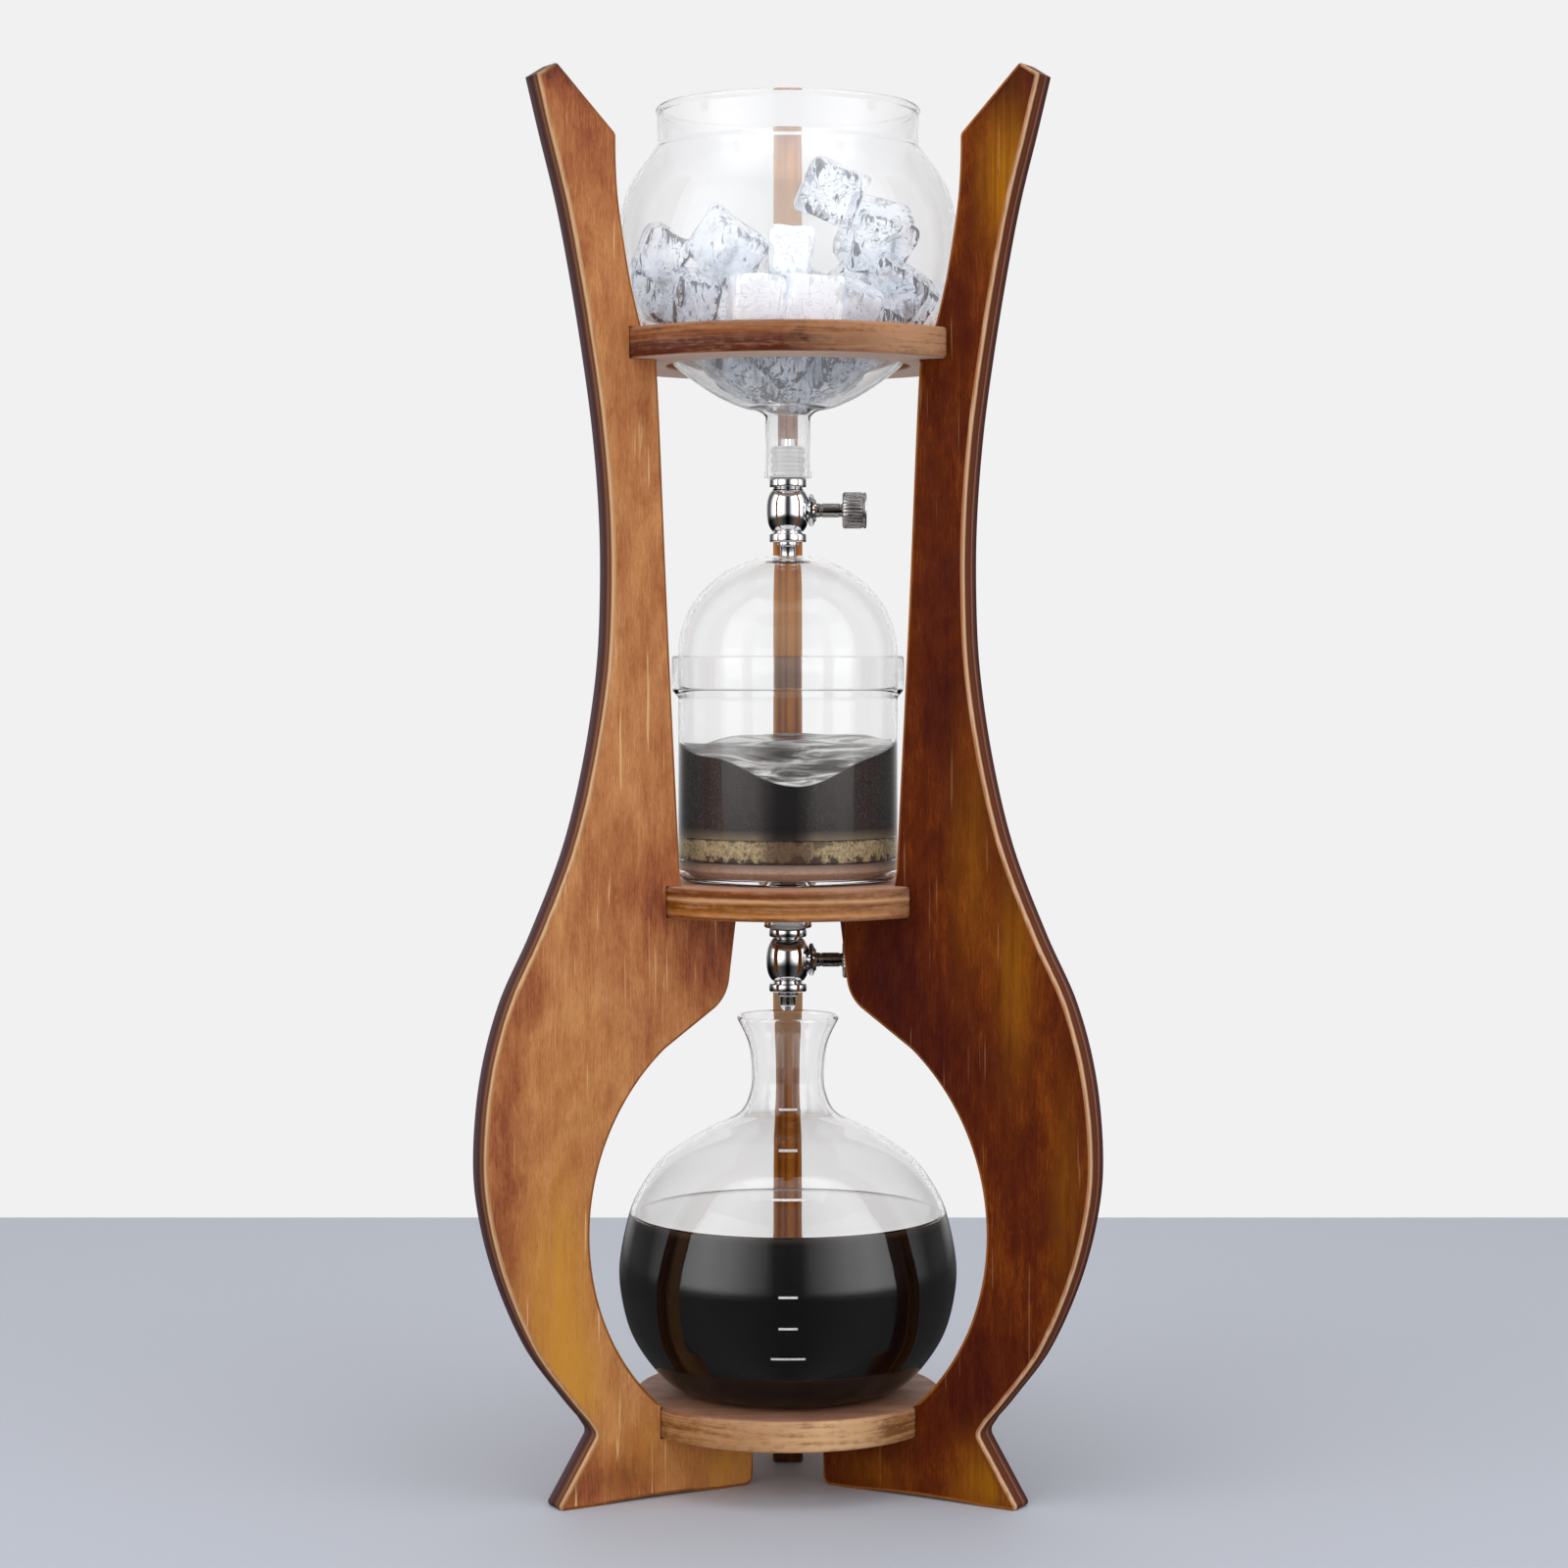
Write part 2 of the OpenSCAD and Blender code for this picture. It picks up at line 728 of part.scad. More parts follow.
// Half open at rest: the needle's tip stands in the middle of the water channel
module spindle() {
    travel = 1.3;
    thick_x = spindle_bore_x + travel;
    rotate([0, 90, 0]) {
        cylinder(r1 = 0.3, r2 = needle_r, h = needle_tip_l);
        translate([0, 0, needle_tip_l])
            cylinder(r = needle_r, h = thick_x - needle_tip_l);
        translate([0, 0, thick_x])
            cylinder(r = spindle_r, h = knob_x + knob_bore_l - thick_x);
    }
}

module knob() {
    groove_at = knob_w - 1.7;
    translate([knob_x, 0, 0])
        rotate([0, 90, 0])
            difference() {
                union() {
                    cylinder(r1 = knob_r - knob_bevel, r2 = knob_r, h = knob_bevel);
                    translate([0, 0, knob_bevel])
                        cylinder(r = knob_r, h = knob_w - 2 * knob_bevel);
                    translate([0, 0, knob_w - knob_bevel])
                        cylinder(r1 = knob_r, r2 = knob_r - knob_bevel, h = knob_bevel);
                }
                for (k = [0 : flutes - 1])
                    rotate([0, 0, 360 * k / flutes])
                        translate([knob_r + 0.15, 0, -1])
                            cylinder(r = flute_r, h = groove_at + 1, $fn = 16);
                // groove near the outer face
                translate([0, 0, groove_at])
                    difference() {
                        cylinder(r = knob_r + 1, h = 0.7);
                        cylinder(r = knob_r - 0.7, h = 0.7);
                    }
                translate([0, 0, -1])
                    cylinder(r = spindle_r + run_gap, h = knob_bore_l + 1 + 2 * touch);
            }
}

// ---- the two valves and stoppers in their places ----

module at_height(z) {
    translate([0, 0, z])
        children();
}

module upper_stopper() {
    color("whitesmoke")
        stopper(globe_lip_z);
}

module upper_valve_body() {
    color("silver")
        at_height(upper_valve_z)
            valve_body();
}

module upper_packing_nut() {
    color("silver")
        at_height(upper_valve_z)
            packing_nut();
}

module upper_packing_ring() {
    color("white")
        at_height(upper_valve_z)
            packing_ring();
}

module upper_nozzle() {
    color("silver")
        at_height(upper_valve_z)
            nozzle();
}

module upper_spindle() {
    color("gray")
        at_height(upper_valve_z)
            spindle();
}

module upper_knob() {
    color("lightgray")
        at_height(upper_valve_z)
            knob();
}

module lower_stopper() {
    color("whitesmoke")
        stopper(chamber_lip_z);
}

module lower_valve_body() {
    color("silver")
        at_height(lower_valve_z)
            valve_body();
}

module lower_packing_nut() {
    color("silver")
        at_height(lower_valve_z)
            packing_nut();
}

module lower_packing_ring() {
    color("white")
        at_height(lower_valve_z)
            packing_ring();
}

module lower_nozzle() {
    color("silver")
        at_height(lower_valve_z)
            nozzle();
}

module lower_spindle() {
    color("gray")
        at_height(lower_valve_z)
            spindle();
}

module lower_knob() {
    color("lightgray")
        at_height(lower_valve_z)
            knob();
}

leg_left();
leg_right();
leg_back();
top_ring();
middle_shelf();
bottom_shelf();
ring_dowels();
middle_dowels();
bottom_dowels();
globe();
upper_stopper();
upper_valve_body();
upper_packing_nut();
upper_packing_ring();
upper_nozzle();
upper_spindle();
upper_knob();
dome_cover();
coffee_chamber();
ceramic_filter();
filter_gasket();
lower_stopper();
lower_valve_body();
lower_packing_nut();
lower_packing_ring();
lower_nozzle();
lower_spindle();
lower_knob();
flask();
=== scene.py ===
import math

import bmesh
import bpy
import numpy as np
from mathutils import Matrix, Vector
from mathutils.geometry import delaunay_2d_cdt


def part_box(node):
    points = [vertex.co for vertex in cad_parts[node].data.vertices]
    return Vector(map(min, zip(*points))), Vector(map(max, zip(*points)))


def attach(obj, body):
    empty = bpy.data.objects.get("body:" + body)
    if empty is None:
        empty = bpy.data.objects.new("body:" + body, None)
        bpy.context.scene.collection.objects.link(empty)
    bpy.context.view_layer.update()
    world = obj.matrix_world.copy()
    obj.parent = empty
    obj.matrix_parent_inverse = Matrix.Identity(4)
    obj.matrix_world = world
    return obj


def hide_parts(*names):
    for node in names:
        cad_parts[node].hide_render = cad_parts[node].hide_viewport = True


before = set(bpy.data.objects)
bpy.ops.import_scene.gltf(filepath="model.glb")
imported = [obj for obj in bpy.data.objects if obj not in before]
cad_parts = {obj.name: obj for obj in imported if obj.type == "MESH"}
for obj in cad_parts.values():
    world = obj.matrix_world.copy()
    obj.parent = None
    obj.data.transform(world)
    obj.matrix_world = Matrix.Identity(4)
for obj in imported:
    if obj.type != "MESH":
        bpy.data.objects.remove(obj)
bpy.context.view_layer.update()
print("frame loaded:", len(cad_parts), "nodes")


# sizes in millimetres, taken from the frame where a node gives them

def lowest(node):
    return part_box(node)[0][2] * 1000


def highest(node):
    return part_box(node)[1][2] * 1000


def halfway(node):
    return (lowest(node) + highest(node)) / 2


def tone(red, green, blue):
    # a screen colour from 0 to 255, as the linear colour that a shader takes
    share = np.array([red, green, blue]) / 255
    linear = np.where(share > 0.04045, ((share + 0.055) / 1.055) ** 2.4, share / 12.92)
    return (*linear.tolist(), 1.0)


class Sizes(dict):
    # a dictionary whose entries can be read as sizes.name too
    __getattr__ = dict.__getitem__


# lines in a plane

def smoothLine(points, steps):
    # each stretch is the cubic through its two points, with slopes taken from their neighbours
    p = np.array(points, float)
    at = np.arange(len(p) - 1)
    a, b, c, d = (p[np.clip(at + k, 0, len(p) - 1)][:, None] for k in (-1, 0, 1, 2))
    u = np.linspace(0, 1, steps, endpoint=False)[None, :, None]
    line = 0.5 * (2 * b + (c - a) * u + (2 * a - 5 * b + 4 * c - d) * u ** 2
        + (3 * b - a - 3 * c + d) * u ** 3)
    return np.vstack([line.reshape(-1, 2), p[-1:]])


def placed(rows, r0, r1, z0, z1):
    # shares of the way between two radii and between two heights
    rows = np.array(rows, float)
    return np.column_stack([r0 + (r1 - r0) * rows[:, 0], z0 + (z1 - z0) * rows[:, 1]])


def roundCorner(a, b, c, radius, steps=8):
    # the arc of that radius that touches both sides of the corner at b
    a, b, c = (np.array(p, float) for p in (a, b, c))
    u, v = (a - b) / np.linalg.norm(a - b), (c - b) / np.linalg.norm(c - b)
    half = math.acos(float(np.clip(u @ v, -1, 1))) / 2
    middle = b + (u + v) / np.linalg.norm(u + v) * radius / math.sin(half)
    start = b + u * radius / math.tan(half) - middle
    end = b + v * radius / math.tan(half) - middle
    turn = math.atan2(start[0] * end[1] - start[1] * end[0], start @ end)
    angles = math.atan2(start[1], start[0]) + turn * np.linspace(0, 1, steps + 1)
    return middle + radius * np.column_stack([np.cos(angles), np.sin(angles)])


def rounded(path):
    # points that have a radius as well (and steps) become arcs; a radius of 0 only gives direction
    rows = []
    for k, (x, y, *bend) in enumerate(path):
        before, after = path[k - 1][:2], path[(k + 1) % len(path)][:2]
        if not bend:
            rows.append([(x, y)])
        elif bend[0]:
            rows.append(roundCorner(before, (x, y), after, *bend))
    return np.vstack(rows)


def besideLine(p, gap):
    # every point moved square to the line: outwards where the line climbs and the gap is positive
    p = np.array(p, float)
    ahead = np.vstack([p[1:], p[-1:]]) - np.vstack([p[:1], p[:-1]])
    ahead /= np.linalg.norm(ahead, axis=1)[:, None]
    moved = p + gap * np.column_stack([ahead[:, 1], -ahead[:, 0]])
    moved[:, 0] = np.maximum(moved[:, 0], 0)
    return moved


def wallRim(r0, r1, z):
    # half circle from one face of a wall over to the other, with its crown at z
    middle, half = (r0 + r1) / 2, (r0 - r1) / 2
    angles = np.linspace(0, math.pi, 11)
    return np.column_stack([middle + half * np.cos(angles), z + (np.sin(angles) - 1) * half])


# meshes

def gridFaces(rows, cols, wrapRows, wrapCols):
    # one quad for each cell of a grid of points, going round where a direction wraps
    i, j = np.meshgrid(np.arange(rows - (not wrapRows)), np.arange(cols - (not wrapCols)),
        indexing="ij")
    i2, j2 = (i + 1) % rows, (j + 1) % cols
    return np.stack([i * cols + j, i * cols + j2, i2 * cols + j2, i2 * cols + j], -1).reshape(-1, 4)


def addPiece(name, points, faces, material, body, standsFor=(), crease=35, marks=None):
    # puts finished points, in millimetres, into an object at the origin
    mesh = bpy.data.meshes.new(name)
    points = np.asarray(points, float).reshape(-1, 3) / 1000
    mesh.from_pydata(points.tolist(), [], [f.tolist() for f in faces])
    for label, values in (marks or {}).items():
        layer = mesh.attributes.new(label, "FLOAT", "POINT")
        layer.data.foreach_set("value", np.asarray(values, float).ravel())
    shape = bmesh.new()
    shape.from_mesh(mesh)
    bmesh.ops.remove_doubles(shape, verts=shape.verts, dist=2e-7)
    if shape.calc_volume(signed=True) < 0:
        bmesh.ops.reverse_faces(shape, faces=shape.faces)
    shape.to_mesh(mesh)
    shape.free()
    mesh.polygons.foreach_set("use_smooth", np.ones(len(mesh.polygons), bool))
    mesh.set_sharp_from_angle(angle=math.radians(crease))
    mesh.materials.append(material)
    piece = bpy.data.objects.new(name, mesh)
    bpy.context.scene.collection.objects.link(piece)
    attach(piece, body)
    if standsFor:
        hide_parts(*standsFor)
    return piece


def coat(node, material):
    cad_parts[node].data.materials.clear()
    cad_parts[node].data.materials.append(material)


def turned(profile, segments, along, at):
    # the profile of radius and height carried round an axis: x = r cos a, y = r sin a
    profile = np.asarray(profile, float)
    angle = np.linspace(0, 2 * math.pi, segments, endpoint=False)
    r, z = profile[:, :1], profile[:, 1:]
    across, deep, high = r * np.cos(angle), r * np.sin(angle), z + 0 * angle
    if along == "x":
        return np.stack([high, across, deep + at], -1)
    return np.stack([across, deep, high + at], -1)


def lathePiece(name, profile, material, body, standsFor=(), segments=144, closed=False,
        along="z", at=0.0, crease=35, marks=None):
    # closed: the profile is a loop off the axis; otherwise both its ends lie on the axis
    points = turned(profile, segments, along, at)
    faces = gridFaces(len(profile), segments, closed, True)
    values = marks(points) if marks else None
    return addPiece(name, points, faces, material, body, standsFor, crease, values)


# nodes of a material

work = Sizes(tree=None, shader=None)  # what new nodes are put into


class Field:
    # a value on its way to a shader; sums such as a + b turn it into more nodes
    def __init__(self, socket):
        self.socket = socket

    def __add__(self, other):
        return maths("ADD", self, other)

    def __radd__(self, other):
        return maths("ADD", other, self)

    def __sub__(self, other):
        return maths("SUBTRACT", self, other)

    def __rsub__(self, other):
        return maths("SUBTRACT", other, self)

    def __mul__(self, other):
        return maths("MULTIPLY", self, other)

    def __truediv__(self, other):
        return maths("DIVIDE", self, other)

    def __abs__(self):
        return maths("ABSOLUTE", self)


def plug(value, socket):
    # a number, a colour or another node's output goes into a socket
    value = getattr(value, "socket", value)
    if isinstance(value, bpy.types.NodeSocket):
        work.tree.links.new(value, socket)
    else:
        socket.default_value = value


def addNode(kind, inputs=None, **settings):
    node = work.tree.nodes.new("ShaderNode" + kind)
    for key, value in settings.items():
        setattr(node, key, value)
    for key, value in (inputs or {}).items():
        plug(value, node.inputs[key])
    return node


def newMaterial(name, settings):
    # the material that the next nodes belong to, and the place on its piece in metres
    material = bpy.data.materials.new(name)
    material.use_nodes = True
    work["tree"] = material.node_tree
    work["shader"] = material.node_tree.nodes["Principled BSDF"]
    for socket, value in settings.items():
        give(socket, value)
    return material, Field(addNode("TexCoord").outputs["Object"])


def give(socket, value):
    plug(value, work.shader.inputs[socket])


def maths(operation, a, b=0.0, clamp=False):
    return Field(addNode("Math", {0: a, 1: b}, operation=operation, use_clamp=clamp).outputs[0])


def axis(vector, place):
    return Field(addNode("SeparateXYZ", {0: vector}).outputs[place])


def stretched(vector, scale, turn=0.0, shift=(0, 0, 0)):
    return Field(addNode("Mapping", {"Vector": vector, "Scale": scale, "Rotation": (0, 0, turn),
        "Location": shift}).outputs[0])


def noise(vector, scale, detail, rough, distortion=0.0):
    # three scales stretch it along each axis
    if isinstance(scale, tuple):
        vector, scale = stretched(vector, scale), 1.0
    return Field(addNode("TexNoise", {"Vector": vector, "Scale": scale, "Detail": detail,
        "Roughness": rough, "Distortion": distortion}).outputs["Fac"])


def ramp(factor, stops):
    # each stop is a place and then a grey, a screen colour or a linear colour with its alpha
    node = addNode("ValToRGB", {"Fac": factor})
    while len(node.color_ramp.elements) < len(stops):
        node.color_ramp.elements.new(1.0)
    for element, (place, *colour) in zip(node.color_ramp.elements, stops):
        element.position = place
        colour = colour * 3 + [1] if len(colour) == 1 else colour
        element.color = tone(*colour) if len(colour) == 3 else colour
    return Field(node.outputs["Color"])


def mixColour(factor, a, b, blend="MIX"):
    return Field(addNode("Mix", {0: factor, 6: a, 7: b}, data_type="RGBA",
        blend_type=blend).outputs[2])


def mark(label):
    return Field(addNode("Attribute", attribute_name=label).outputs["Fac"])


def bumped(height, strength, depth):
    give("Normal", addNode("Bump", {"Height": height, "Strength": strength,
        "Distance": depth}).outputs[0])


# camera and light

view = Sizes(place=(-0.00155, -1.350, 0.328), lens=78.3, sensor=36.0, horizonShift=-0.0875)

camera = bpy.data.objects.new("camera", bpy.data.cameras.new("camera"))
camera.data.lens = view.lens
camera.data.sensor_width = view.sensor
camera.data.sensor_fit = "HORIZONTAL"
camera.data.shift_y = view.horizonShift  # the camera is level and its horizon lies above the middle
camera.location = view.place
camera.rotation_euler = (math.pi / 2, 0, 0)
bpy.context.scene.collection.objects.link(camera)
bpy.context.scene.camera = camera

# mirrored: what polished surfaces mirror, from straight in front (0) round to straight behind (1)
studio = Sizes(backdrop=tone(241, 241, 242), floor=tone(196, 200, 210), floorEnd=0.61,
    ambient=(0.80, 0.81, 0.83, 1), ambientLevel=0.60, mirroredLevel=4.0,
    mirrored=[(0.0, 0.01), (0.05, 0.03), (0.09, 0.20), (0.144, 0.42), (0.228, 0.80), (0.33, 1.0),
    (0.41, 0.75), (0.517, 0.28), (0.62, 0.03), (0.76, 0.03), (0.86, 0.18), (1.0, 0.24)],
    panels={"leftPanel": ((-1.11, -1.15, 0.85), (1.85, 1.5), 12.8),
    "rightPanel": ((1.11, -1.15, 0.85), (1.85, 1.5), 9.6), "topPanel": ((0.0, -0.15, 1.7),
    (1.4, 1.4), 8.2)})


def lightStudio():
    # camera and refracted rays meet the backdrop's colour, mirrored rays two tall panels beside
    # the camera with a dark gap between them, and diffuse rays an even grey
    world = bpy.data.worlds.new("studio")
    world.use_nodes = True
    bpy.context.scene.world = world
    world.node_tree.nodes.clear()
    work["tree"] = world.node_tree
    path = addNode("LightPath")
    toward = addNode("TexCoord").outputs["Generated"]
    around = abs(maths("ARCTAN2", axis(toward, 0), axis(toward, 1) * -1.0))
    bands = ramp(around / math.pi, studio.mirrored)
    # below the horizon the bands fade to a dark table
    climb = maths("DIVIDE", axis(toward, 2) + 0.20, 0.28, clamp=True)
    fade = ramp(climb, [(0.0, 0.03), (0.28, 0.16), (0.60, 1.0)])
    bands = mixColour(1.0, bands, fade, "MULTIPLY")
    seen = maths("MAXIMUM", path.outputs["Is Camera Ray"], path.outputs["Is Transmission Ray"])
    plain = addNode("Background", {"Color": studio.backdrop, "Strength": 1.0})
    room = addNode("Background", {"Color": studio.ambient, "Strength": studio.ambientLevel})
    glint = addNode("Background", {"Color": bands, "Strength": studio.mirroredLevel})
    dim = addNode("MixShader", {0: path.outputs["Is Glossy Ray"], 1: room.outputs[0],
        2: glint.outputs[0]})
    both = addNode("MixShader", {0: seen, 1: dim.outputs[0], 2: plain.outputs[0]})
    addNode("OutputWorld", {"Surface": both.outputs[0]})
    for name, (place, size, power) in studio.panels.items():
        lamp = bpy.data.lights.new(name, "AREA")
        lamp.shape = "RECTANGLE"
        lamp.size, lamp.size_y = size
        lamp.energy = power
        panel = bpy.data.objects.new(name, lamp)
        panel.location = place
        aim = Vector((0, 0, min(place[2], 0.85)))
        panel.rotation_euler = (aim - panel.location).to_track_quat("-Z", "Y").to_euler()
        panel.visible_glossy = False
        bpy.context.scene.collection.objects.link(panel)


def layFloor():
    # a flat sheet that ends where the table in the picture ends; mirrored rays pass through it
    mesh = bpy.data.meshes.new("floor")
    end = studio.floorEnd
    mesh.from_pydata([(-3, -3, 0), (3, -3, 0), (3, end, 0), (-3, end, 0)], [], [(0, 1, 2, 3)])
    material, spot = newMaterial("paleFloor", {"Base Color": studio.floor, "Roughness": 0.6,
        "Specular IOR Level": 0.2})
    bumped(noise(spot, 90.0, 3, 0.5), 0.05, 0.0005)
    clear = addNode("BsdfTransparent")
    mirrored = addNode("LightPath").outputs["Is Glossy Ray"]
    mixed = addNode("MixShader", {0: mirrored, 1: work.shader.outputs[0], 2: clear.outputs[0]})
    plug(mixed.outputs[0], work.tree.nodes["Material Output"].inputs["Surface"])
    mesh.materials.append(material)
    floor = bpy.data.objects.new("floor", mesh)
    bpy.context.scene.collection.objects.link(floor)


bpy.context.scene.view_settings.view_transform = "Standard"
lightStudio()
layFloor()
print("camera, light and floor set")


# plywood

stack = Sizes(footH=lowest("bottom_shelf"), baseTop=highest("bottom_shelf"),
    midZ=lowest("middle_shelf"), midTop=highest("middle_shelf"), ringZ=lowest("top_ring"),
    ringTop=highest("top_ring"), flaskZ=lowest("flask"), lipZ=highest("flask"),
    chamberLip=lowest("coffee_chamber"), chamberZ=lowest("coffee_chamber") + 18.7,
    chamberRim=highest("coffee_chamber"), domeZ=lowest("dome_cover"), globeLip=lowest("globe"),
    globeZ=lowest("globe") + 26.1, globeRim=highest("globe"), upperValve=halfway("upper_knob"),
    lowerValve=halfway("lower_knob"))
stack["legTop"] = stack.ringTop + 99

board = Sizes(ply=12.0, edgeRound=1.1, glue=0.1, bellyR=134.4, waistR=80.8, hornR=112.5,
    hornIn=79.3, chestIn=51.1, hipR=26.6, heelR=19.0, notchR=88.0, toeR=104.2, baseR=60.1,
    shelfR=57.6, ringR=73.6, bayR=90.4, bayRise=68.7, ringBite=5.3, ringLedge=11.9, archH=1.0,
    hipLean=3.7, hipDrop=32.3, hipRound=16, crownDrop=5, crownIn=8, lipDrop=25)


def legOutline():
    # smooth lines and rounded corners, joined anticlockwise in radius and height
    b, s = board, stack
    g = b.glue
    outer = smoothLine(np.vstack([placed([[0.055, 0.05], [0.21, 0.092], [0.53, 0.19], [0.795, 0.32],
        [0.95, 0.445], [1, 0.56]], b.notchR, b.bellyR, s.footH, s.midZ),
        placed([[0.053, 0.71], [0.2, 0.848], [0.443, 0.978]], b.bellyR, b.waistR, s.footH, s.midZ),
        placed([[0.698, 0.076], [0.865, 0.24], [0.97, 0.41], [1, 0.56]], b.bellyR, b.waistR,
        s.midTop, s.ringZ), placed([[0.015, 0.705], [0.1, 0.857], [0.235, 1]], b.waistR, b.hornR,
        s.midTop, s.ringZ), placed([[0.41, 0.19], [0.6, 0.475], [0.825, 0.737], [1, 0.949]],
        b.waistR, b.hornR, s.ringTop, s.legTop)]), 9)
    hornIn = smoothLine(placed([[1, 0.735], [0.99, 0.646], [0.92, 0.515], [0.73, 0.369],
        [0.42, 0.182], [0, 0.001]], b.ringR - b.ringBite, b.hornIn, s.ringTop, s.legTop), 8)
    chestIn = smoothLine(placed([[1, 1], [0.85, 0.86], [0.5, 0.475], [0, 0]], b.chestIn,
        b.ringR - b.ringLedge, s.midTop + g, s.ringZ - g), 10)
    bayZ = s.baseTop + b.bayRise
    low = -math.asin((bayZ - s.baseTop - g) / b.bayR)
    angle = np.linspace(math.radians(50), low, 49)
    bay = np.column_stack([b.bayR * np.cos(angle), bayZ + b.bayR * np.sin(angle)])
    arch = placed([[0.18, 0], [0.33, 0.75], [0.5, 1], [0.67, 0.75], [0.82, 0]], b.heelR, b.toeR, 0,
        b.archH)
    hornOut = (b.hornR, s.legTop - b.crownDrop)
    crown = (b.hornR - b.crownIn, s.legTop)
    lip = (b.hornIn + 0.3, s.legTop - b.lipDrop)
    ankle = (b.notchR - 1.2, 1.2 * s.footH)
    hipTip = (b.hipR + b.hipLean, s.midZ - b.hipDrop)
    return np.vstack([outer, roundCorner(hornOut, crown, lip, 1.5),
        roundCorner(crown, lip, hornIn[0], 3), hornIn, [(b.ringR + g, s.ringTop + g),
        (b.ringR + g, s.ringZ - g)], chestIn, [(b.shelfR + g, s.midTop + g),
        (b.shelfR + g, s.midZ - g), (b.hipR, s.midZ - g)], roundCorner((b.hipR, s.midZ), hipTip,
        bay[0], b.hipRound, 14), bay, [(b.baseR + g, s.baseTop + g), (b.baseR + g, s.footH - g),
        (b.heelR, s.footH - g)], roundCorner((b.heelR, s.footH), (b.heelR, 0), (b.toeR, 0), 3.5),
        arch, roundCorner((b.heelR, 0), (b.toeR, 0), ankle, 1.5),
        roundCorner((b.toeR, 0), ankle, outer[0], 3)])


def insetLoop(loop, depth):
    # each corner moved inwards along the bisector of its two sides
    before, after = loop - np.roll(loop, 1, 0), np.roll(loop, -1, 0) - loop
    normals = []
    for side in (before, after):
        side = side / np.linalg.norm(side, axis=1)[:, None]
        normals.append(np.column_stack([-side[:, 1], side[:, 0]]))
    middle = normals[0] + normals[1]
    length = np.maximum((middle * normals[0]).sum(1), 0.5)
    return loop + depth * middle / length[:, None]


def boardShape(outline, direction, leg):
    # the outline carried over a rounded edge, and both faces filled with points 4 mm apart
    half, bend = board.ply / 2, board.edgeRound
    angle = np.linspace(0, math.pi / 2, 5)
    rings = [(bend * 1.25, half)] + [(bend * (1 - math.sin(a)),
        half - bend * (1 - math.cos(a))) for a in angle]
    rings = rings + [(inset, -deep) for inset, deep in rings[::-1]]
    # the edges are rounded all round, but stay square where a disc sits in its notch
    seats = np.array([stack.ringTop, stack.midTop, stack.baseTop]) + board.glue
    seats = np.append(seats, np.array([stack.ringZ, stack.midZ, stack.footH]) - board.glue)
    near = np.abs(outline[:, 1:] - seats[None]).min(1) < 0.05
    eased = np.where(near & (outline[:, 0] < board.ringR + 0.2), 0.05, 1.0)[:, None]
    loops = np.stack([np.column_stack([insetLoop(outline, inset * eased),
        np.full(len(outline), deep)]) for inset, deep in rings])
    count = len(outline)
    rimFaces = gridFaces(len(rings), count, False, True)
    face = loops[0, :, :2]
    x0, z0 = face.min(0)
    x1, z1 = face.max(0)
    gx, gz = np.meshgrid(np.arange(x0, x1, 4.0), np.arange(z0, z1, 4.0), indexing="ij")
    inner = np.column_stack([gx.ravel(), gz.ravel()])
    a, b = face, np.roll(face, -1, 0)
    side = b - a
    reach = inner[:, None] - a[None]
    share = np.clip((reach * side).sum(2) / np.maximum((side ** 2).sum(1), 1e-9), 0, 1)
    gap = np.linalg.norm(reach - share[:, :, None] * side, axis=2).min(1)
    crosses = (a[:, 1] > inner[:, None, 1]) != (b[:, 1] > inner[:, None, 1])
    climb = np.where(np.abs(side[:, 1]) < 1e-9, 1e-9, side[:, 1])
    cut = a[:, 0] + (inner[:, None, 1] - a[:, 1]) * side[:, 0] / climb
    inside = (crosses & (inner[:, None, 0] < cut)).sum(1) % 2 == 1
    inner = inner[inside & (gap > 1.5)]
    flat = np.vstack([face, inner])
    made = delaunay_2d_cdt([Vector(p) for p in flat.tolist()], [], [list(range(count))], 1, 1e-5)
    filled = np.array([tuple(p) for p in made[0]])
    tris = np.array(made[2])
    front = np.column_stack([filled, np.full(len(filled), half)])
    back = np.column_stack([filled, np.full(len(filled), -half)])
    points = np.vstack([loops.reshape(-1, 3), front, back])
    start = len(rings) * count
    faces = [*rimFaces, *(tris[:, ::-1] + start), *(tris + start + len(filled))]
    edge = np.zeros(len(points))
    edge[count:start - count] = 1
    inward = np.zeros(len(points))
    normal = outline - insetLoop(outline, 1.0)
    inward[:start] = np.tile((normal[:, 0] < 0.45).astype(float), len(rings))

    def patched(base, patches):
        # each patch adds its change times e to the minus squared distance in its own widths
        amount = np.full(len(points), float(base))
        for t, z, wide, tall, change in patches:
            amount += change * np.exp(-((points[:, 0] - t) / wide) ** 2
                - ((points[:, 1] - z) / tall) ** 2)
        return amount

    stain, gold = patched(leg.base, leg.dark), patched(0, leg.golden)
    c, s = math.cos(direction), math.sin(direction)
    t, z, y = points.T
    world = np.column_stack([t * c - y * s, t * s + y * c, z])
    return world, faces, {"edge": edge, "inward": inward, "stain": stain, "gold": gold}


def summed(start, parts):
    # the start plus each noise's distance from its middle value times its weight
    total = start
    for part, weight in parts:
        total = total + (part - 0.5) * weight
    return maths("MAXIMUM", maths("MINIMUM", total, 1.0), 0.0)


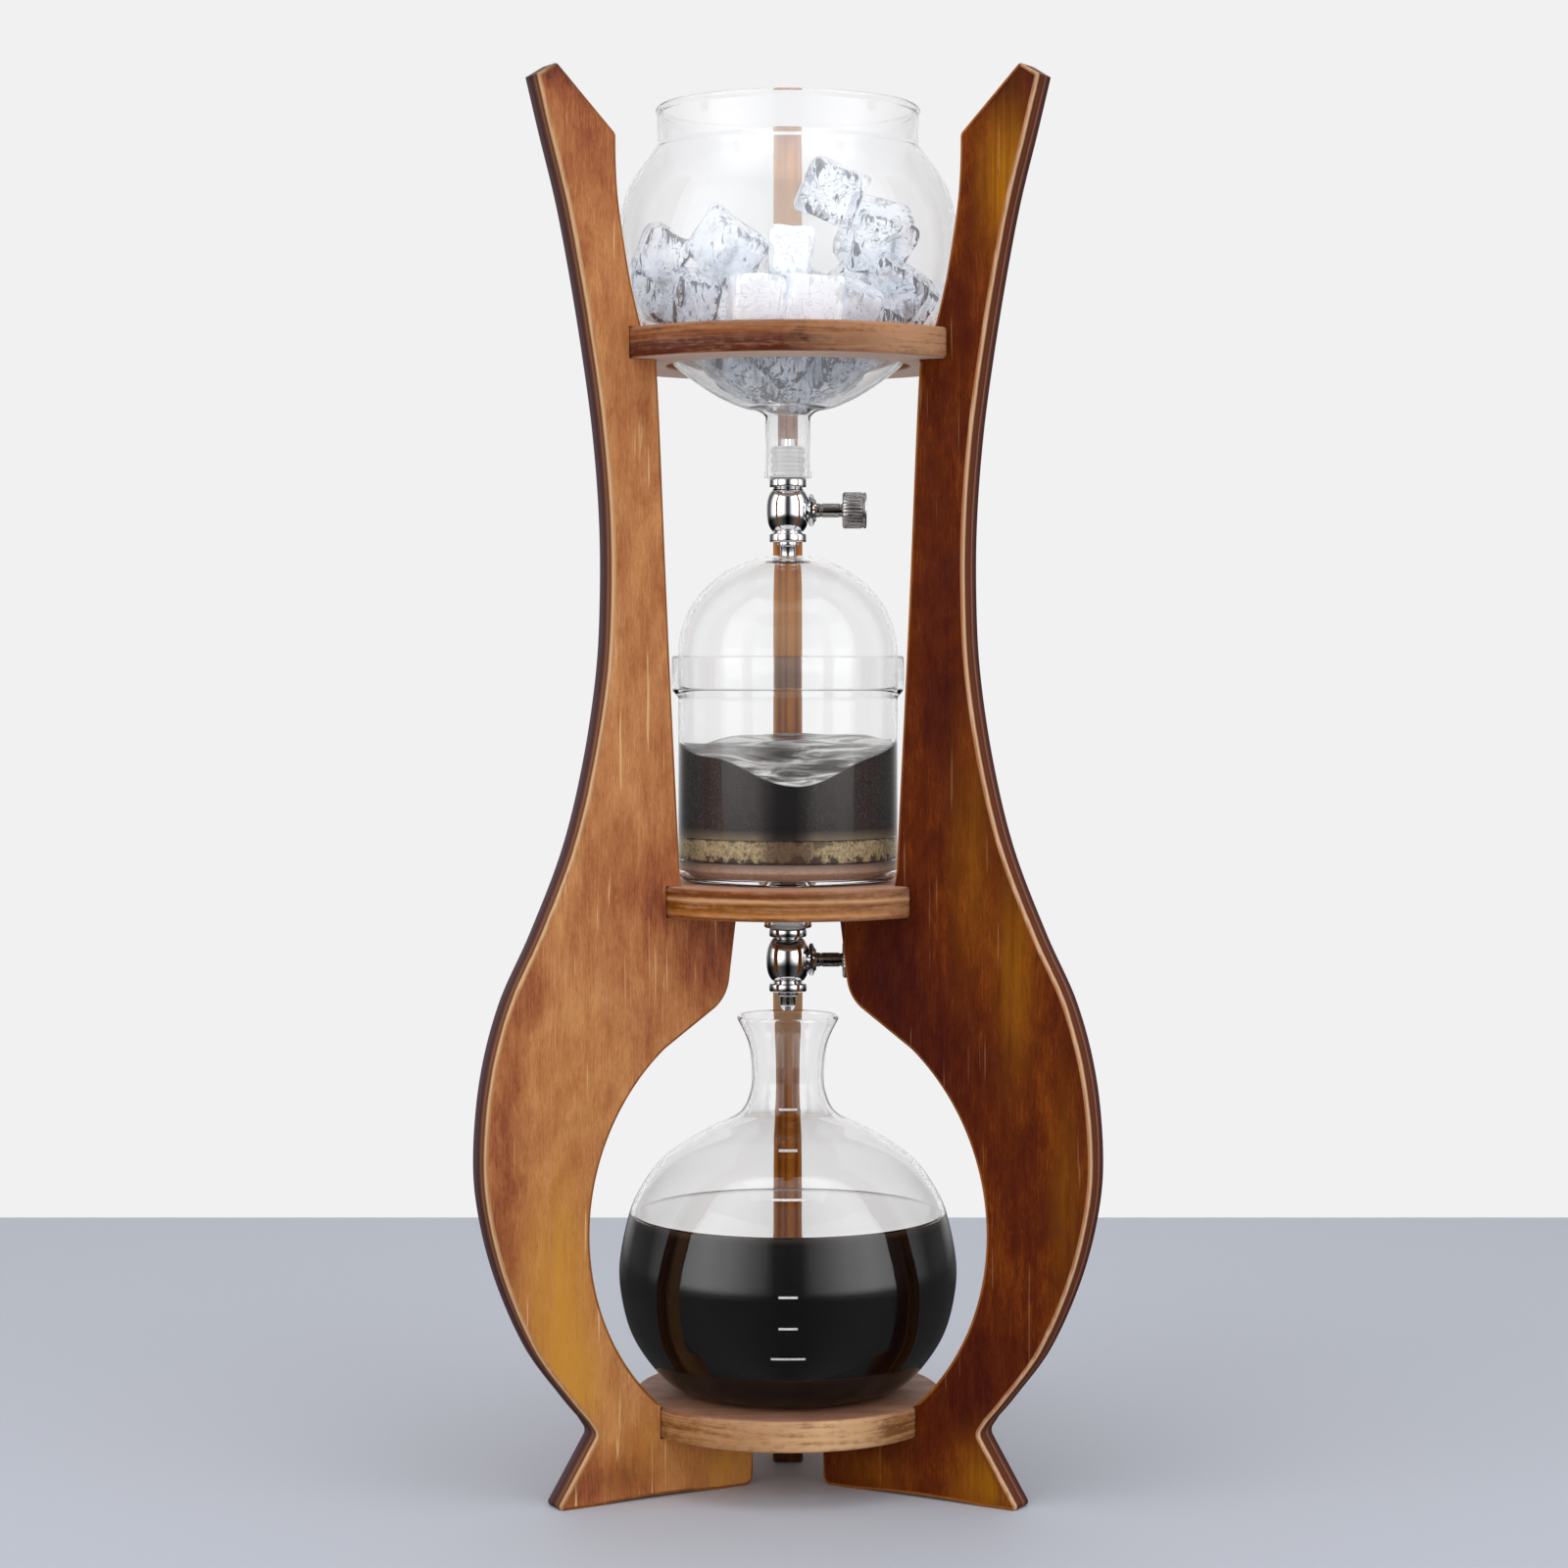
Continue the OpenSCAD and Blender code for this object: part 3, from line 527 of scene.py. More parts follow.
def stainedBoard(name, direction, leg):
    # veneer with its grain upright, and thin plies that show where the edge mark is set
    material, spot = newMaterial(name, {"Roughness": 0.5, "Specular IOR Level": leg.polish})
    local = stretched(spot, (1, 1, 1), -direction)
    moved = stretched(local, (1, 1, 1), 0, leg.shift)
    fibre = noise(moved, (1500, 1500, 90), 5, 0.68)
    streak = noise(moved, (330, 330, 9), 4, 0.6, 0.5)
    mottle = noise(moved, (150, 150, 60), 5, 0.62, 0.6)
    blotch = noise(moved, (36, 36, 20), 4, 0.55, 0.9)
    speck = noise(moved, (2600, 2600, 500), 2, 0.5)
    depth = summed(mark("stain"), ((fibre, 0.62), (streak, 0.30), (mottle, 0.55), (blotch, 0.80),
        (speck, 0.35)))
    veneer = ramp(depth, leg.tones)
    glow = mark("gold") * ramp(streak, [(0.32, 0.35), (0.60, 1.0)])
    veneer = mixColour(maths("MINIMUM", glow, 0.85), veneer, leg.goldTone)
    # pale scratches where the stain missed the wood, and dark pores
    missed = ramp(noise(moved, (640, 640, 24), 2, 0.4), [(0.69, 0.0), (0.74, 1.0)])
    veneer = mixColour(missed * leg.scratched, veneer, tone(224, 180, 128))
    pore = ramp(noise(moved, (1900, 1900, 150), 2, 0.5), [(0.24, 1.0), (0.33, 0.0)])
    veneer = mixColour(pore * 0.45, veneer, leg.poreTone)
    across = axis(local, 1) * leg.front + (streak - 0.5) * 0.0011
    share = maths("ADD", across / (board.ply / 1000), 0.5, clamp=True)
    plies = mixColour(mark("inward"), ramp(share, leg.plies), ramp(share, innerPlies))
    shade = maths("MULTIPLY", mark("stain") - 0.62, 2.2, clamp=True)
    plies = mixColour(shade + fibre * 0.32, plies, tone(62, 32, 26))
    plies = mixColour(mark("gold") * leg.edgeGold, plies, leg.goldTone)
    give("Base Color", mixColour(mark("edge"), veneer, plies))
    give("Roughness", ramp(mottle, [(0.3, 0.42), (0.7, 0.6)]))
    bumped(fibre + streak, 0.22, 0.0003)
    return material


# tones run from where the stain is thin to where it is dark; plies from the rear face to the front
innerPlies = [(0.0, 150, 84, 30), (0.05, 204, 132, 56), (0.12, 180, 100, 26), (0.20, 126, 60, 16),
    (0.30, 192, 112, 30), (0.45, 204, 122, 34), (0.58, 140, 70, 20), (0.66, 186, 108, 30),
    (0.80, 126, 62, 16), (0.90, 188, 110, 34), (0.95, 206, 136, 60), (1.0, 150, 86, 34)]
palePlies = [(0.0, 58, 42, 48), (0.10, 92, 74, 80), (0.32, 84, 60, 62), (0.46, 68, 42, 40),
    (0.60, 104, 66, 50), (0.70, 146, 98, 70), (0.77, 100, 58, 42), (0.86, 132, 80, 52),
    (0.905, 206, 160, 112), (0.96, 226, 186, 140), (1.0, 188, 132, 86)]
darkPlies = [(0.0, 60, 32, 36), (0.22, 84, 46, 42), (0.34, 104, 62, 48), (0.42, 158, 112, 84),
    (0.49, 92, 48, 36), (0.66, 114, 60, 36), (0.84, 104, 52, 32), (0.905, 214, 170, 128),
    (0.96, 232, 194, 156), (1.0, 176, 118, 78)]
warmTones = [(0.0, 220, 160, 98), (0.28, 200, 138, 86), (0.50, 178, 114, 68), (0.74, 148, 82, 50),
    (1.0, 96, 46, 34)]
deepTones = [(0.0, 158, 88, 20), (0.28, 120, 56, 10), (0.50, 88, 33, 5), (0.74, 68, 19, 6),
    (1.0, 44, 10, 8)]

# dark and golden patches: radius, height, half width, half height, change
legs = {}
legs["leg_left"] = Sizes(angle=210, front=1, tones=warmTones, plies=palePlies, polish=0.14,
    goldTone=tone(206, 144, 52), poreTone=tone(112, 60, 38), scratched=0.8, edgeGold=0.0,
    shift=(0.31, 0.12, 0.07), base=0.45, dark=[(40, 210, 17, 26, 0.36), (66, 234, 12, 18, 0.28),
    (104, 548, 16, 9, 0.4), (90, 530, 14, 40, 0.20), (126, 120, 9, 60, 0.20),
    (100, 8, 12, 12, 0.30), (97, 500, 14, 34, 0.08), (74, 10, 22, 10, 0.3),
    (118, 200, 8, 22, 0.14)], golden=[(106, 84, 15, 42, 0.75), (98, 46, 14, 20, 0.85),
    (30, 10, 15, 14, 0.8), (96, 165, 22, 24, 0.12), (66, 20, 16, 16, 0.45), (100, 78, 6, 40, 0.4)])
legs["leg_right"] = Sizes(angle=-30, front=-1, tones=deepTones, plies=darkPlies, polish=0.06,
    goldTone=tone(176, 112, 16), poreTone=tone(44, 12, 8), scratched=0.16, edgeGold=0.0,
    shift=(0.9, 0.4, 0.35), base=0.50, dark=[(50, 198, 17, 26, 0.28), (104, 546, 15, 10, 0.25),
    (72, 330, 9, 60, 0.12), (78, 40, 20, 24, 0.12), (70, 165, 24, 30, 0.26)],
    golden=[(99, 506, 9, 24, 0.95), (103, 206, 7, 34, 0.5), (92, 9, 12, 14, 0.7),
    (124, 120, 6, 40, 0.25), (40, 8, 16, 8, 0.2), (84, 250, 8, 40, 0.3)])
# on the back leg the dark patch at the heel is painted shade under the bottom shelf, and the golden
# patches with their pale gold edge are golden ply lightened with painted light where the leg stands
# in shade behind the glass
legs["leg_back"] = Sizes(angle=90, front=1, tones=warmTones, plies=palePlies, polish=0.14,
    goldTone=tone(228, 180, 132), poreTone=tone(96, 46, 30), scratched=0.4, edgeGold=0.95,
    shift=(0.05, 0.77, 0.52), base=0.46, dark=[(60, 220, 26, 40, 0.2), (104, 546, 15, 10, 0.4),
    (22, 8, 12, 14, 0.6)], golden=[(46, 184, 26, 28, 1.1), (79, 500, 10, 40, 0.7),
    (62, 338, 14, 24, 0.55)])

outline = legOutline()
for legName, leg in legs.items():
    direction = math.radians(leg.angle)
    points, faces, marks = boardShape(outline, direction, leg)
    wood = stainedBoard(legName + "Veneer", direction, leg)
    addPiece(legName + "_board", points, faces, wood, "tower", [legName],
        crease=40, marks=marks)
print("legs made")


# ring and shelves

def discMaterial(name, shift, middle, tones, rim):
    # grain along the left-right axis on the faces, and plies by height on the rim
    material, spot = newMaterial(name, {"Roughness": 0.5, "Specular IOR Level": 0.12})
    moved = stretched(spot, (1, 1, 1), 0, shift)
    fibre = noise(moved, (60, 1400, 1400), 5, 0.65)
    streak = noise(moved, (12, 240, 240), 4, 0.6, 0.4)
    blotch = noise(moved, (40, 50, 50), 4, 0.55, 0.6)
    depth = summed(mark("stain"), ((streak, 0.5), (blotch, 0.6), (fibre, 0.4)))
    veneer = ramp(depth, tones)
    share = (axis(spot, 2) - (middle / 1000 - board.ply / 2000)) / (board.ply / 1000)
    wander = (noise(moved, (45, 45, 120), 3, 0.5, 0.5) - 0.5) * rim.wander
    plies = ramp(maths("ADD", share, wander, clamp=True), rim.plies)
    grain = noise(moved, (38, 38, 640), 5, 0.66, 0.4)
    mottle = noise(moved, (260, 260, 500), 4, 0.6)
    side = maths("ADD", axis(spot, 0) * (1000 / 140), 0.5, clamp=True)
    plies = mixColour(ramp(side, rim.paleness), plies, rim.paleTone)
    shade = summed(mark("knot"), ((grain, 3.2), (mottle, 1.8)))
    plies = mixColour(shade * rim.grainDepth, plies, rim.darkTone)
    gleam = summed(0.0, ((grain, -3.2), (mottle, -1.2)))
    plies = mixColour(gleam * 0.42, plies, rim.paleTone)
    # painted light: the underside is mixed towards a pale tone, lighter than its shade
    veneer = mixColour(mark("under") * 0.85, veneer, rim.underTone)
    give("Base Color", mixColour(mark("edge"), veneer, plies))
    give("Roughness", ramp(mottle, [(0.3, 0.42), (0.7, 0.6)]))
    bumped(fibre + grain, 0.22, 0.0003)
    return material


def discMarks(radius, low, stain, knots):
    # edge: 1 on the outer rim; under: 1 below, where light is painted; knot: dark spots at an angle
    # and a height on the rim
    def values(points):
        x, y, z = (points[..., k] for k in range(3))
        r = np.hypot(x, y)
        edge = np.clip((r - radius + 1.6) / 1.2, 0, 1)
        knot = np.zeros(x.shape)
        for angle, height, wide, tall, dark in knots:
            a = math.radians(angle)
            arc = np.hypot(x - radius * math.cos(a), y - radius * math.sin(a))
            knot += dark * np.exp(-(arc / wide) ** 2 - ((z - low - height) / tall) ** 2)
        under = np.clip((low + 0.3 - z) / 0.3, 0, 1)
        return {"edge": edge, "knot": knot, "stain": np.full(x.shape, stain), "under": under}
    return values


def rimmed(radius, low, high):
    # outer half of a disc's profile, from its underside up to its top, with fine steps up the rim
    lower = roundCorner((0, low), (radius, low), (radius, high), 1.5, 6)
    upper = roundCorner((radius, low), (radius, high), (0, high), 1.5, 6)
    rise = np.linspace(lower[-1, 1], upper[0, 1], 9)[1:-1]
    return np.vstack([lower, steps(radius, radius, 0, 7) + [(0, z) for z in rise], upper])


def steps(r0, r1, z, count):
    return np.column_stack([np.linspace(r0, r1, count), np.full(count, z)])


vessel = Sizes(wall=2.0, neckR=8.9, lipW=0.6, globeR=67.8, mouthR=51.8, bowlH=105.0, seatGap=0.4,
    chamberR=43.4, chamberH=75.8, socketStep=2.6, socketGap=0.5, domeWall=13.7, domeRise=39.5,
    domeHole=9.5, chamberRound=4.3, flaskR=66.6, flaskBaseR=36.0, flaskNeckR=14.3, flaskLipR=20.0,
    flaskBodyH=107.5)


def globeBowl():
    v, z = vessel, stack.globeZ
    return smoothLine(np.vstack([placed([[0, -0.02], [0.02, -0.006], [0.06, 0.006], [0.16, 0.018],
        [0.36, 0.071], [0.605, 0.171], [0.775, 0.276], [0.885, 0.36], [0.978, 0.49], [1, 0.638]],
        v.neckR, v.globeR, z, z + v.bowlH), placed([[0.83, 0.79], [0.54, 0.886], [0, 1]], v.mouthR,
        v.globeR, z, z + v.bowlH)]), 12)


# plies by height, from the underside up
ringRim = Sizes(plies=[(0.0, 150, 116, 98), (0.05, 96, 42, 18), (0.16, 82, 32, 12),
    (0.24, 90, 48, 36), (0.40, 84, 44, 30), (0.48, 108, 64, 44), (0.60, 120, 70, 42),
    (0.68, 126, 70, 40), (0.76, 154, 98, 60), (0.88, 138, 90, 60), (1.0, 158, 122, 102)],
    paleness=[(0.0, 0.0), (0.48, 0.0), (0.58, 0.28), (0.70, 0.40), (0.80, 0.72), (1.0, 0.8)],
    wander=0.12, paleTone=tone(198, 150, 112), darkTone=tone(56, 26, 18), grainDepth=0.8,
    underTone=tone(240, 212, 190))
middleRim = Sizes(plies=[(0.0, 150, 90, 48), (0.10, 132, 74, 28), (0.17, 186, 126, 72),
    (0.25, 156, 98, 42), (0.34, 134, 78, 20), (0.50, 120, 68, 16), (0.56, 150, 98, 50),
    (0.63, 202, 152, 108), (0.69, 172, 122, 78), (0.75, 110, 58, 16), (0.88, 112, 58, 20),
    (0.93, 128, 74, 40), (1.0, 172, 126, 102)], paleness=[(0.0, 0.0), (0.40, 0.0), (0.70, 0.16),
    (1.0, 0.30)], wander=0.05, paleTone=tone(224, 178, 144), darkTone=tone(84, 42, 18),
    grainDepth=0.7, underTone=tone(214, 160, 108))
bottomRim = Sizes(plies=[(0.0, 182, 134, 92), (0.10, 154, 108, 62), (0.30, 148, 100, 56),
    (0.42, 162, 114, 68), (0.55, 142, 96, 54), (0.66, 160, 112, 66), (0.80, 152, 104, 64),
    (0.90, 158, 112, 80), (1.0, 140, 96, 72)], paleness=[(0.0, 0.0), (0.22, 0.0), (0.40, 0.30),
    (0.60, 0.80), (0.70, 0.62), (0.80, 0.15), (1.0, 0.0)], wander=0.13,
    paleTone=tone(226, 182, 136), darkTone=tone(98, 50, 16), grainDepth=0.75,
    underTone=tone(206, 158, 112))
# painted light: the middle shelf's tones are raised to offset the shade of the chamber over its top
litMiddleTones = [(0.0, 232, 190, 160), (0.35, 206, 162, 136), (0.65, 176, 132, 108),
    (1.0, 120, 78, 60)]
topTones = [(0.0, 192, 146, 120), (0.35, 158, 112, 90), (0.65, 124, 82, 64), (1.0, 84, 50, 40)]


def makeRing():
    low, high, radius = stack.ringZ, stack.ringTop, board.ringR
    seat = besideLine(globeBowl(), vessel.seatGap)
    heights = np.linspace(high, low, 17)
    bore = vessel.chamberR - vessel.wall + vessel.socketStep + vessel.wall + 2
    wall = np.column_stack([np.maximum(np.interp(heights, seat[:60, 1], seat[:60, 0]), bore),
        heights])
    profile = np.vstack([rimmed(radius, low, high), steps(radius - 2, wall[0, 0] + 0.6, high, 8),
        wall[1:-1], steps(bore + 0.5, radius - 2, low, 8)])
    knots = [(-87, 7.6, 2.2, 1.6, 1.3), (-85, 4.6, 1.5, 1.1, 1.1), (-62, 5, 14, 3, -0.35)]
    wood = discMaterial("ringVeneer", (0.2, 0.6, 0.1), (low + high) / 2, warmTones, ringRim)
    lathePiece("ring_board", profile, wood, "tower", ["top_ring"], 360, True,
        marks=discMarks(radius, low, 0.62, knots))


def makeMiddleShelf():
    low, high, radius = stack.midZ, stack.midTop, board.shelfR
    hole = vessel.chamberR - 7.4
    wall = np.array([(hole, high - 0.6), (hole, low + 0.6)])
    profile = np.vstack([rimmed(radius, low, high), steps(radius - 2, hole + 0.6, high, 8), wall,
        steps(hole + 0.6, radius - 2, low, 8)])
    wood = discMaterial("middleVeneer", (0.7, 0.15, 0.3), (low + high) / 2, litMiddleTones, middleRim)
    lathePiece("middle_board", profile, wood, "tower", ["middle_shelf"], 360, True,
        marks=discMarks(radius, low, 0.45, [(200, 6, 20, 8, 0.25)]))


def makeBottomShelf():
    low, high, radius = stack.footH, stack.baseTop, board.baseR
    profile = np.vstack([[(0, low)], steps(4, radius - 2, low, 8), rimmed(radius, low, high),
        steps(radius - 2, 4, high, 8), [(0, high)]])
    knots = [(-48, 5.0, 5, 2.2, 0.9), (-52, 8.0, 4, 1.6, 0.8), (-42, 4, 9, 6, 0.6),
        (-142, 5, 13, 9, 0.5), (-120, 8, 14, 2.5, 0.3)]
    wood = discMaterial("bottomVeneer", (0.45, 0.33, 0.8), (low + high) / 2, topTones, bottomRim)
    lathePiece("bottom_board", profile, wood, "tower", ["bottom_shelf"], 360,
        marks=discMarks(radius, low, 0.22, knots))


makeRing()
makeMiddleShelf()
makeBottomShelf()
print("ring and shelves made")


# glass

def clearGlass(name, tint, gloss, clear=1.0):
    # clear walls that bend light little, so that their edges stay pale, under a glossy skin, with
    # the slight waves of blown glass
    material, spot = newMaterial(name, {"Transmission Weight": clear, "Roughness": 0.0, "IOR": 1.12,
        "Base Color": tint, "Coat Weight": gloss, "Coat IOR": 1.5, "Coat Roughness": 0.0})
    bumped(noise(spot, 26.0, 2, 0.4), 0.06, 0.002)
    return material


blownGlass = clearGlass("blownGlass", (0.980, 0.981, 0.981, 1), 0.42)
# the globe's glass: a faint white haze, mist from the cold ice and also a painted highlight over
# the globe
mistAndHighlightGlass = clearGlass("mistAndHighlightGlass", (0.995, 0.997, 0.999, 1), 0.44, 0.91)  # by the cold ice
flaskGlass = clearGlass("flaskGlass", (0.956, 0.953, 0.952, 1), 0.66)


def neckEnd(z):
    # the rounded lip at a neck's lower end, then the tube above it
    neck = vessel.neckR
    inner, outer = neck - vessel.wall, neck + vessel.lipW
    return rounded([(inner + 0.7, z + 3, 0), (inner, z, 0.6, 5), (outer, z, 0.8, 6),
        (outer, z + 2.2), (neck, z + 3.4)])


def globeProfile():
    v = vessel
    bowl, mouth, top = globeBowl(), v.mouthR, stack.globeRim
    angle = np.linspace(-0.9, math.pi + 0.9, 15)
    bead = np.column_stack([mouth - 1.0 + 1.6 * np.cos(angle), top - 1.6 + 1.6 * np.sin(angle)])
    inner = mouth - v.wall
    return np.vstack([neckEnd(stack.globeLip)[3:], bowl, [(mouth, top - 5.4), (mouth, top - 3.4)],
        bead, [(inner, top - 3.4), (inner, top - 5.4)], besideLine(bowl, -v.wall)[::-1]])


lathePiece("globe_glass", globeProfile(), mistAndHighlightGlass, "globe", ["globe"], 160, True,
    crease=60)


def domeProfile():
    v, z = vessel, stack.domeZ
    radius = v.chamberR - v.wall + v.socketStep - v.socketGap
    middle = z + v.domeWall
    angle = np.linspace(0, math.acos(v.domeHole / radius), 40)
    arc = np.column_stack([radius * np.cos(angle), middle + v.domeRise * np.sin(angle)])
    turn = np.linspace(0, math.pi, 11)
    foot = np.column_stack([radius - (1 - np.cos(turn)) * v.wall / 2, z + 1 - np.sin(turn)])
    return np.vstack([foot[::-1], arc, besideLine(arc, -v.wall)[::-1]])


lathePiece("dome_glass", domeProfile(), blownGlass, "dome", ["dome_cover"], 144,
    True, crease=60)


def chamberProfile():
    v, z, rim, wall = vessel, stack.chamberZ, stack.chamberRim, vessel.wall
    neck, inNeck = v.neckR, v.neckR - wall
    body, inBody = v.chamberR, v.chamberR - wall
    socket, socketIn = inBody + v.socketStep + wall, inBody + v.socketStep
    socketZ, bend = z + v.chamberH, v.chamberRound
    return rounded([*neckEnd(stack.chamberLip)[3:], (neck, z, 2), (body, z, bend, 10),
        (body, socketZ - 3.4, 3, 8), (socket, socketZ - 0.4, 3, 8), (socket, rim, 0),
        *wallRim(socket, socketIn, rim), (socketIn, rim, 0), (socketIn, socketZ, 0.4, 3),
        (inBody, socketZ, 0.4, 3), (inBody, z + wall, bend - wall, 8),
        (inNeck, z + wall, 2 + wall, 8), (inNeck, stack.chamberLip, 0)])


lathePiece("chamber_glass", chamberProfile(), blownGlass, "chamber",
    ["coffee_chamber"], 144, True, crease=60)


def flaskSide():
    # from the rim of the hollowed base up to the lip
    v, z = vessel, stack.flaskZ
    top = z + v.flaskBodyH
    return smoothLine(np.vstack([placed([[0, 0], [0.35, 0.03], [0.64, 0.115], [0.86, 0.22],
        [0.975, 0.345], [1, 0.46]], v.flaskBaseR, v.flaskR, z, top),
        placed([[0.95, 0.6], [0.87, 0.71], [0.675, 0.842], [0.36, 0.944], [0.1, 1.01]],
        v.flaskNeckR, v.flaskR, z, top), placed([[0.08, 0.26], [0, 0.5], [0.25, 0.76], [1, 1]],
        v.flaskNeckR, v.flaskLipR, top, stack.lipZ - 1.4)]), 12)


def flaskProfile():
    v, z = vessel, stack.flaskZ
    side = flaskSide()
    base, lip = v.flaskBaseR, v.flaskLipR
    foot = smoothLine([(0, z + 1.2), (base - 14, z + 1.2), (base - 9, z + 0.7), (base - 6, z),
        (base - 3, z)], 5)
    floor = smoothLine([(base - 3, z + 2), (base - 9, z + 2.6), (base - 14, z + 3.2), (0, z + 3.2)],
        5)
    return np.vstack([foot, side, wallRim(lip, lip - v.wall, stack.lipZ),
        besideLine(side, -v.wall)[::-1][2:], floor])


lathePiece("flask_glass", flaskProfile(), flaskGlass, "flask", ["flask"], 160,
    crease=60)
print("glass blown")


# needle valves

def polishedMetal(name, colour, rough):
    # a bright skin with faint turning lines and wiping marks
    material, spot = newMaterial(name, {"Metallic": 1.0, "Base Color": colour, "Roughness": rough})
    wiped = noise(spot, (260, 260, 900), 4, 0.6)
    give("Roughness", ramp(wiped, [(0.3, rough * 0.6), (0.8, rough * 1.8)]))
    give("Base Color", mixColour(wiped * 0.25, colour, tuple(c * 0.72 for c in colour[:3]) + (1,)))
    bumped(noise(spot, 300.0, 2, 0.5), 0.02, 0.0002)
    return material


chromeSkin = polishedMetal("chromeSkin", (0.80, 0.80, 0.82, 1), 0.07)
knobSkin = polishedMetal("knobSkin", (0.58, 0.56, 0.56, 1), 0.30)
steelSkin = polishedMetal("steelSkin", (0.56, 0.53, 0.50, 1), 0.16)

valve = Sizes(ballR=8.5, barrelH=10.2, collarR=7.4, top=12.5, foot=12.6, collarT=3.4, tailR=2.6,
    tailL=16.0, stemR=5.6, channelR=1.2, nozzleR=3.0, nozzleL=7.4, nutX=8.2, nutT=3.0, nutR=6.4,
    spindleR=2.8, knobX=21.6, knobW=9.5, knobR=7.2, flutes=28, bossR=4.4)


def valveBodyProfile():
    v = valve
    foot, top, collar, stem, tail, channel = (v[key] for key in ("foot", "top", "collarR", "stemR",
        "tailR", "channelR"))
    low, high, end = -foot + v.collarT, top - v.collarT, top + v.tailL
    # a barrel between a ball and a cylinder: (r / ballR) and (z / barrelH), each to the power 2.6,
    # add up to 1
    rise = np.linspace(-0.84, 0.84, 41)
    ball = np.column_stack([v.ballR * (1 - np.abs(rise) ** 2.6) ** (1 / 2.6), v.barrelH * rise])
    return rounded([(0, -foot + 0.4), (collar - 2.5, -foot + 0.3), (0, -foot, 0),
        (collar, -foot, 0.7, 5), (collar, low, 0.7, 5), (stem, low, 0.5, 4), (stem, ball[0, 1], 0),
        *ball, (stem, ball[-1, 1], 0), (stem, high, 0.5, 4), (collar, high, 0.7, 5),
        (collar, top, 0.7, 5), (tail, top, 0.4, 4), (tail, end, 0.4, 4), (0, end, 0),
        (channel, end), (channel, end - 6), (0, end - 6)])


def makeValve(side, body, z):
    v = valve
    lathePiece(side + "_valve_ball", valveBodyProfile(), chromeSkin, body,
        [side + "_valve_body"], 96, at=z)
    boss = rounded([(0, 2), (v.bossR, 2), (v.bossR, v.nutX - 0.05, 0.3, 3), (0, v.nutX - 0.05)])
    lathePiece(side + "_valve_boss", boss, chromeSkin, body, segments=64,
        along="x", at=z)
    # packing nut: a hexagon whose corners a cone cuts back at both faces
    x0, x1 = v.nutX, v.nutX + v.nutT
    angle = np.linspace(0, 2 * math.pi, 120, endpoint=False)
    flat = v.nutR * math.cos(math.pi / 6)
    hexR = flat / np.cos((angle + math.pi / 6) % (math.pi / 3) - math.pi / 6)
    rows = np.array([(v.spindleR + 0.1, x0), (flat - 0.3, x0), (9, x0 + 0.5), (9, x1 - 1.3),
        (flat - 0.3, x1 - 0.8), (flat - 0.9, x1 - 0.8), (flat - 1.2, x1 - 0.2), (flat - 1.5, x1),
        (v.spindleR + 0.1, x1)])
    r, x = np.minimum(hexR, rows[:, :1]), rows[:, 1:] + 0 * angle
    points = np.stack([x, r * np.cos(angle), r * np.sin(angle) + z], -1)
    addPiece(side + "_nut", points, gridFaces(len(rows), 120, True, True), chromeSkin, body,
        [side + "_packing_nut"], 28)
    # nozzle
    foot, tip = -v.foot, -v.foot - v.nozzleL
    thin, wide, channel = v.nozzleR, v.nozzleR + 1, v.channelR
    nozzle = rounded([(channel, foot - 0.1), (channel, tip), (thin - 1, tip, 0.4, 4),
        (thin, tip + 2, 0.6, 4), (thin, foot - 1.6, 0.25, 3), (wide, foot - 1.6, 0.35, 4),
        (wide, foot - 0.1)])
    lathePiece(side + "_drip_tip", nozzle, chromeSkin, body, [side + "_nozzle"],
        64, True, at=z)
    # spindle: a plain stem with a shallow groove next to the knob
    s, end = v.spindleR, v.knobX + 6
    spindle = np.array([(0, 0), (0.3, 0), (1.15, 1.6), (1.15, 4.7), (s, 4.7), (s, 12.6),
        (s - 0.25, 12.9), (s - 0.25, 13.4), (s, 13.7), (s, v.knobX - 1.4), (s - 0.3, v.knobX - 1.1),
        (s - 0.3, v.knobX - 0.5), (s, v.knobX - 0.2), (s, end), (0, end)])
    lathePiece(side + "_stem", spindle, steelSkin, side + "_spindle",
        [side + "_spindle"], 64, along="x", at=z)
    # knob: flutes that fade out before the plain collar at its end
    x0, w, big = v.knobX, v.knobW, v.knobR
    rows = np.array([(0, 0.5, 0), (s + 0.05, 0.5, 0), (s + 0.4, 0, 0), (big - 0.9, 0, 0.4),
        (big - 0.35, 0.2, 0.8), (big, 0.7, 1), (big, w * 0.3, 1), (big, w * 0.55, 1),
        (big, w - 2.2, 1), (big - 0.1, w - 1.85, 0.5), (big - 0.45, w - 1.75, 0),
        (big - 0.45, w - 1.3, 0), (big - 0.05, w - 1.15, 0), (big, w - 0.6, 0),
        (big - 0.35, w - 0.12, 0), (big - 0.9, w, 0), (big - 3.2, w, 0), (big - 3.5, w - 0.3, 0),
        (0, w - 0.3, 0)])
    angle = np.linspace(0, 2 * math.pi, v.flutes * 8, endpoint=False)
    wave = 0.24 * np.abs(np.sin(angle * v.flutes / 2)) - 0.24
    r = rows[:, :1] + rows[:, 2:] * wave
    points = np.stack([rows[:, 1:2] + x0 + 0 * angle, r * np.cos(angle), r * np.sin(angle) + z], -1)
    addPiece(side + "_knob_grip", points, gridFaces(len(rows), len(angle), False, True), knobSkin,
        side + "_knob", [side + "_knob"], 40)
    packing = {"Base Color": (0.85, 0.85, 0.83, 1), "Roughness": 0.6}
    coat(side + "_packing_ring", newMaterial(side + "PackingFibre", packing)[0])


makeValve("upper", "globe", stack.upperValve)
makeValve("lower", "chamber", stack.lowerValve)
print("valves made")


# stoppers, filter and gasket

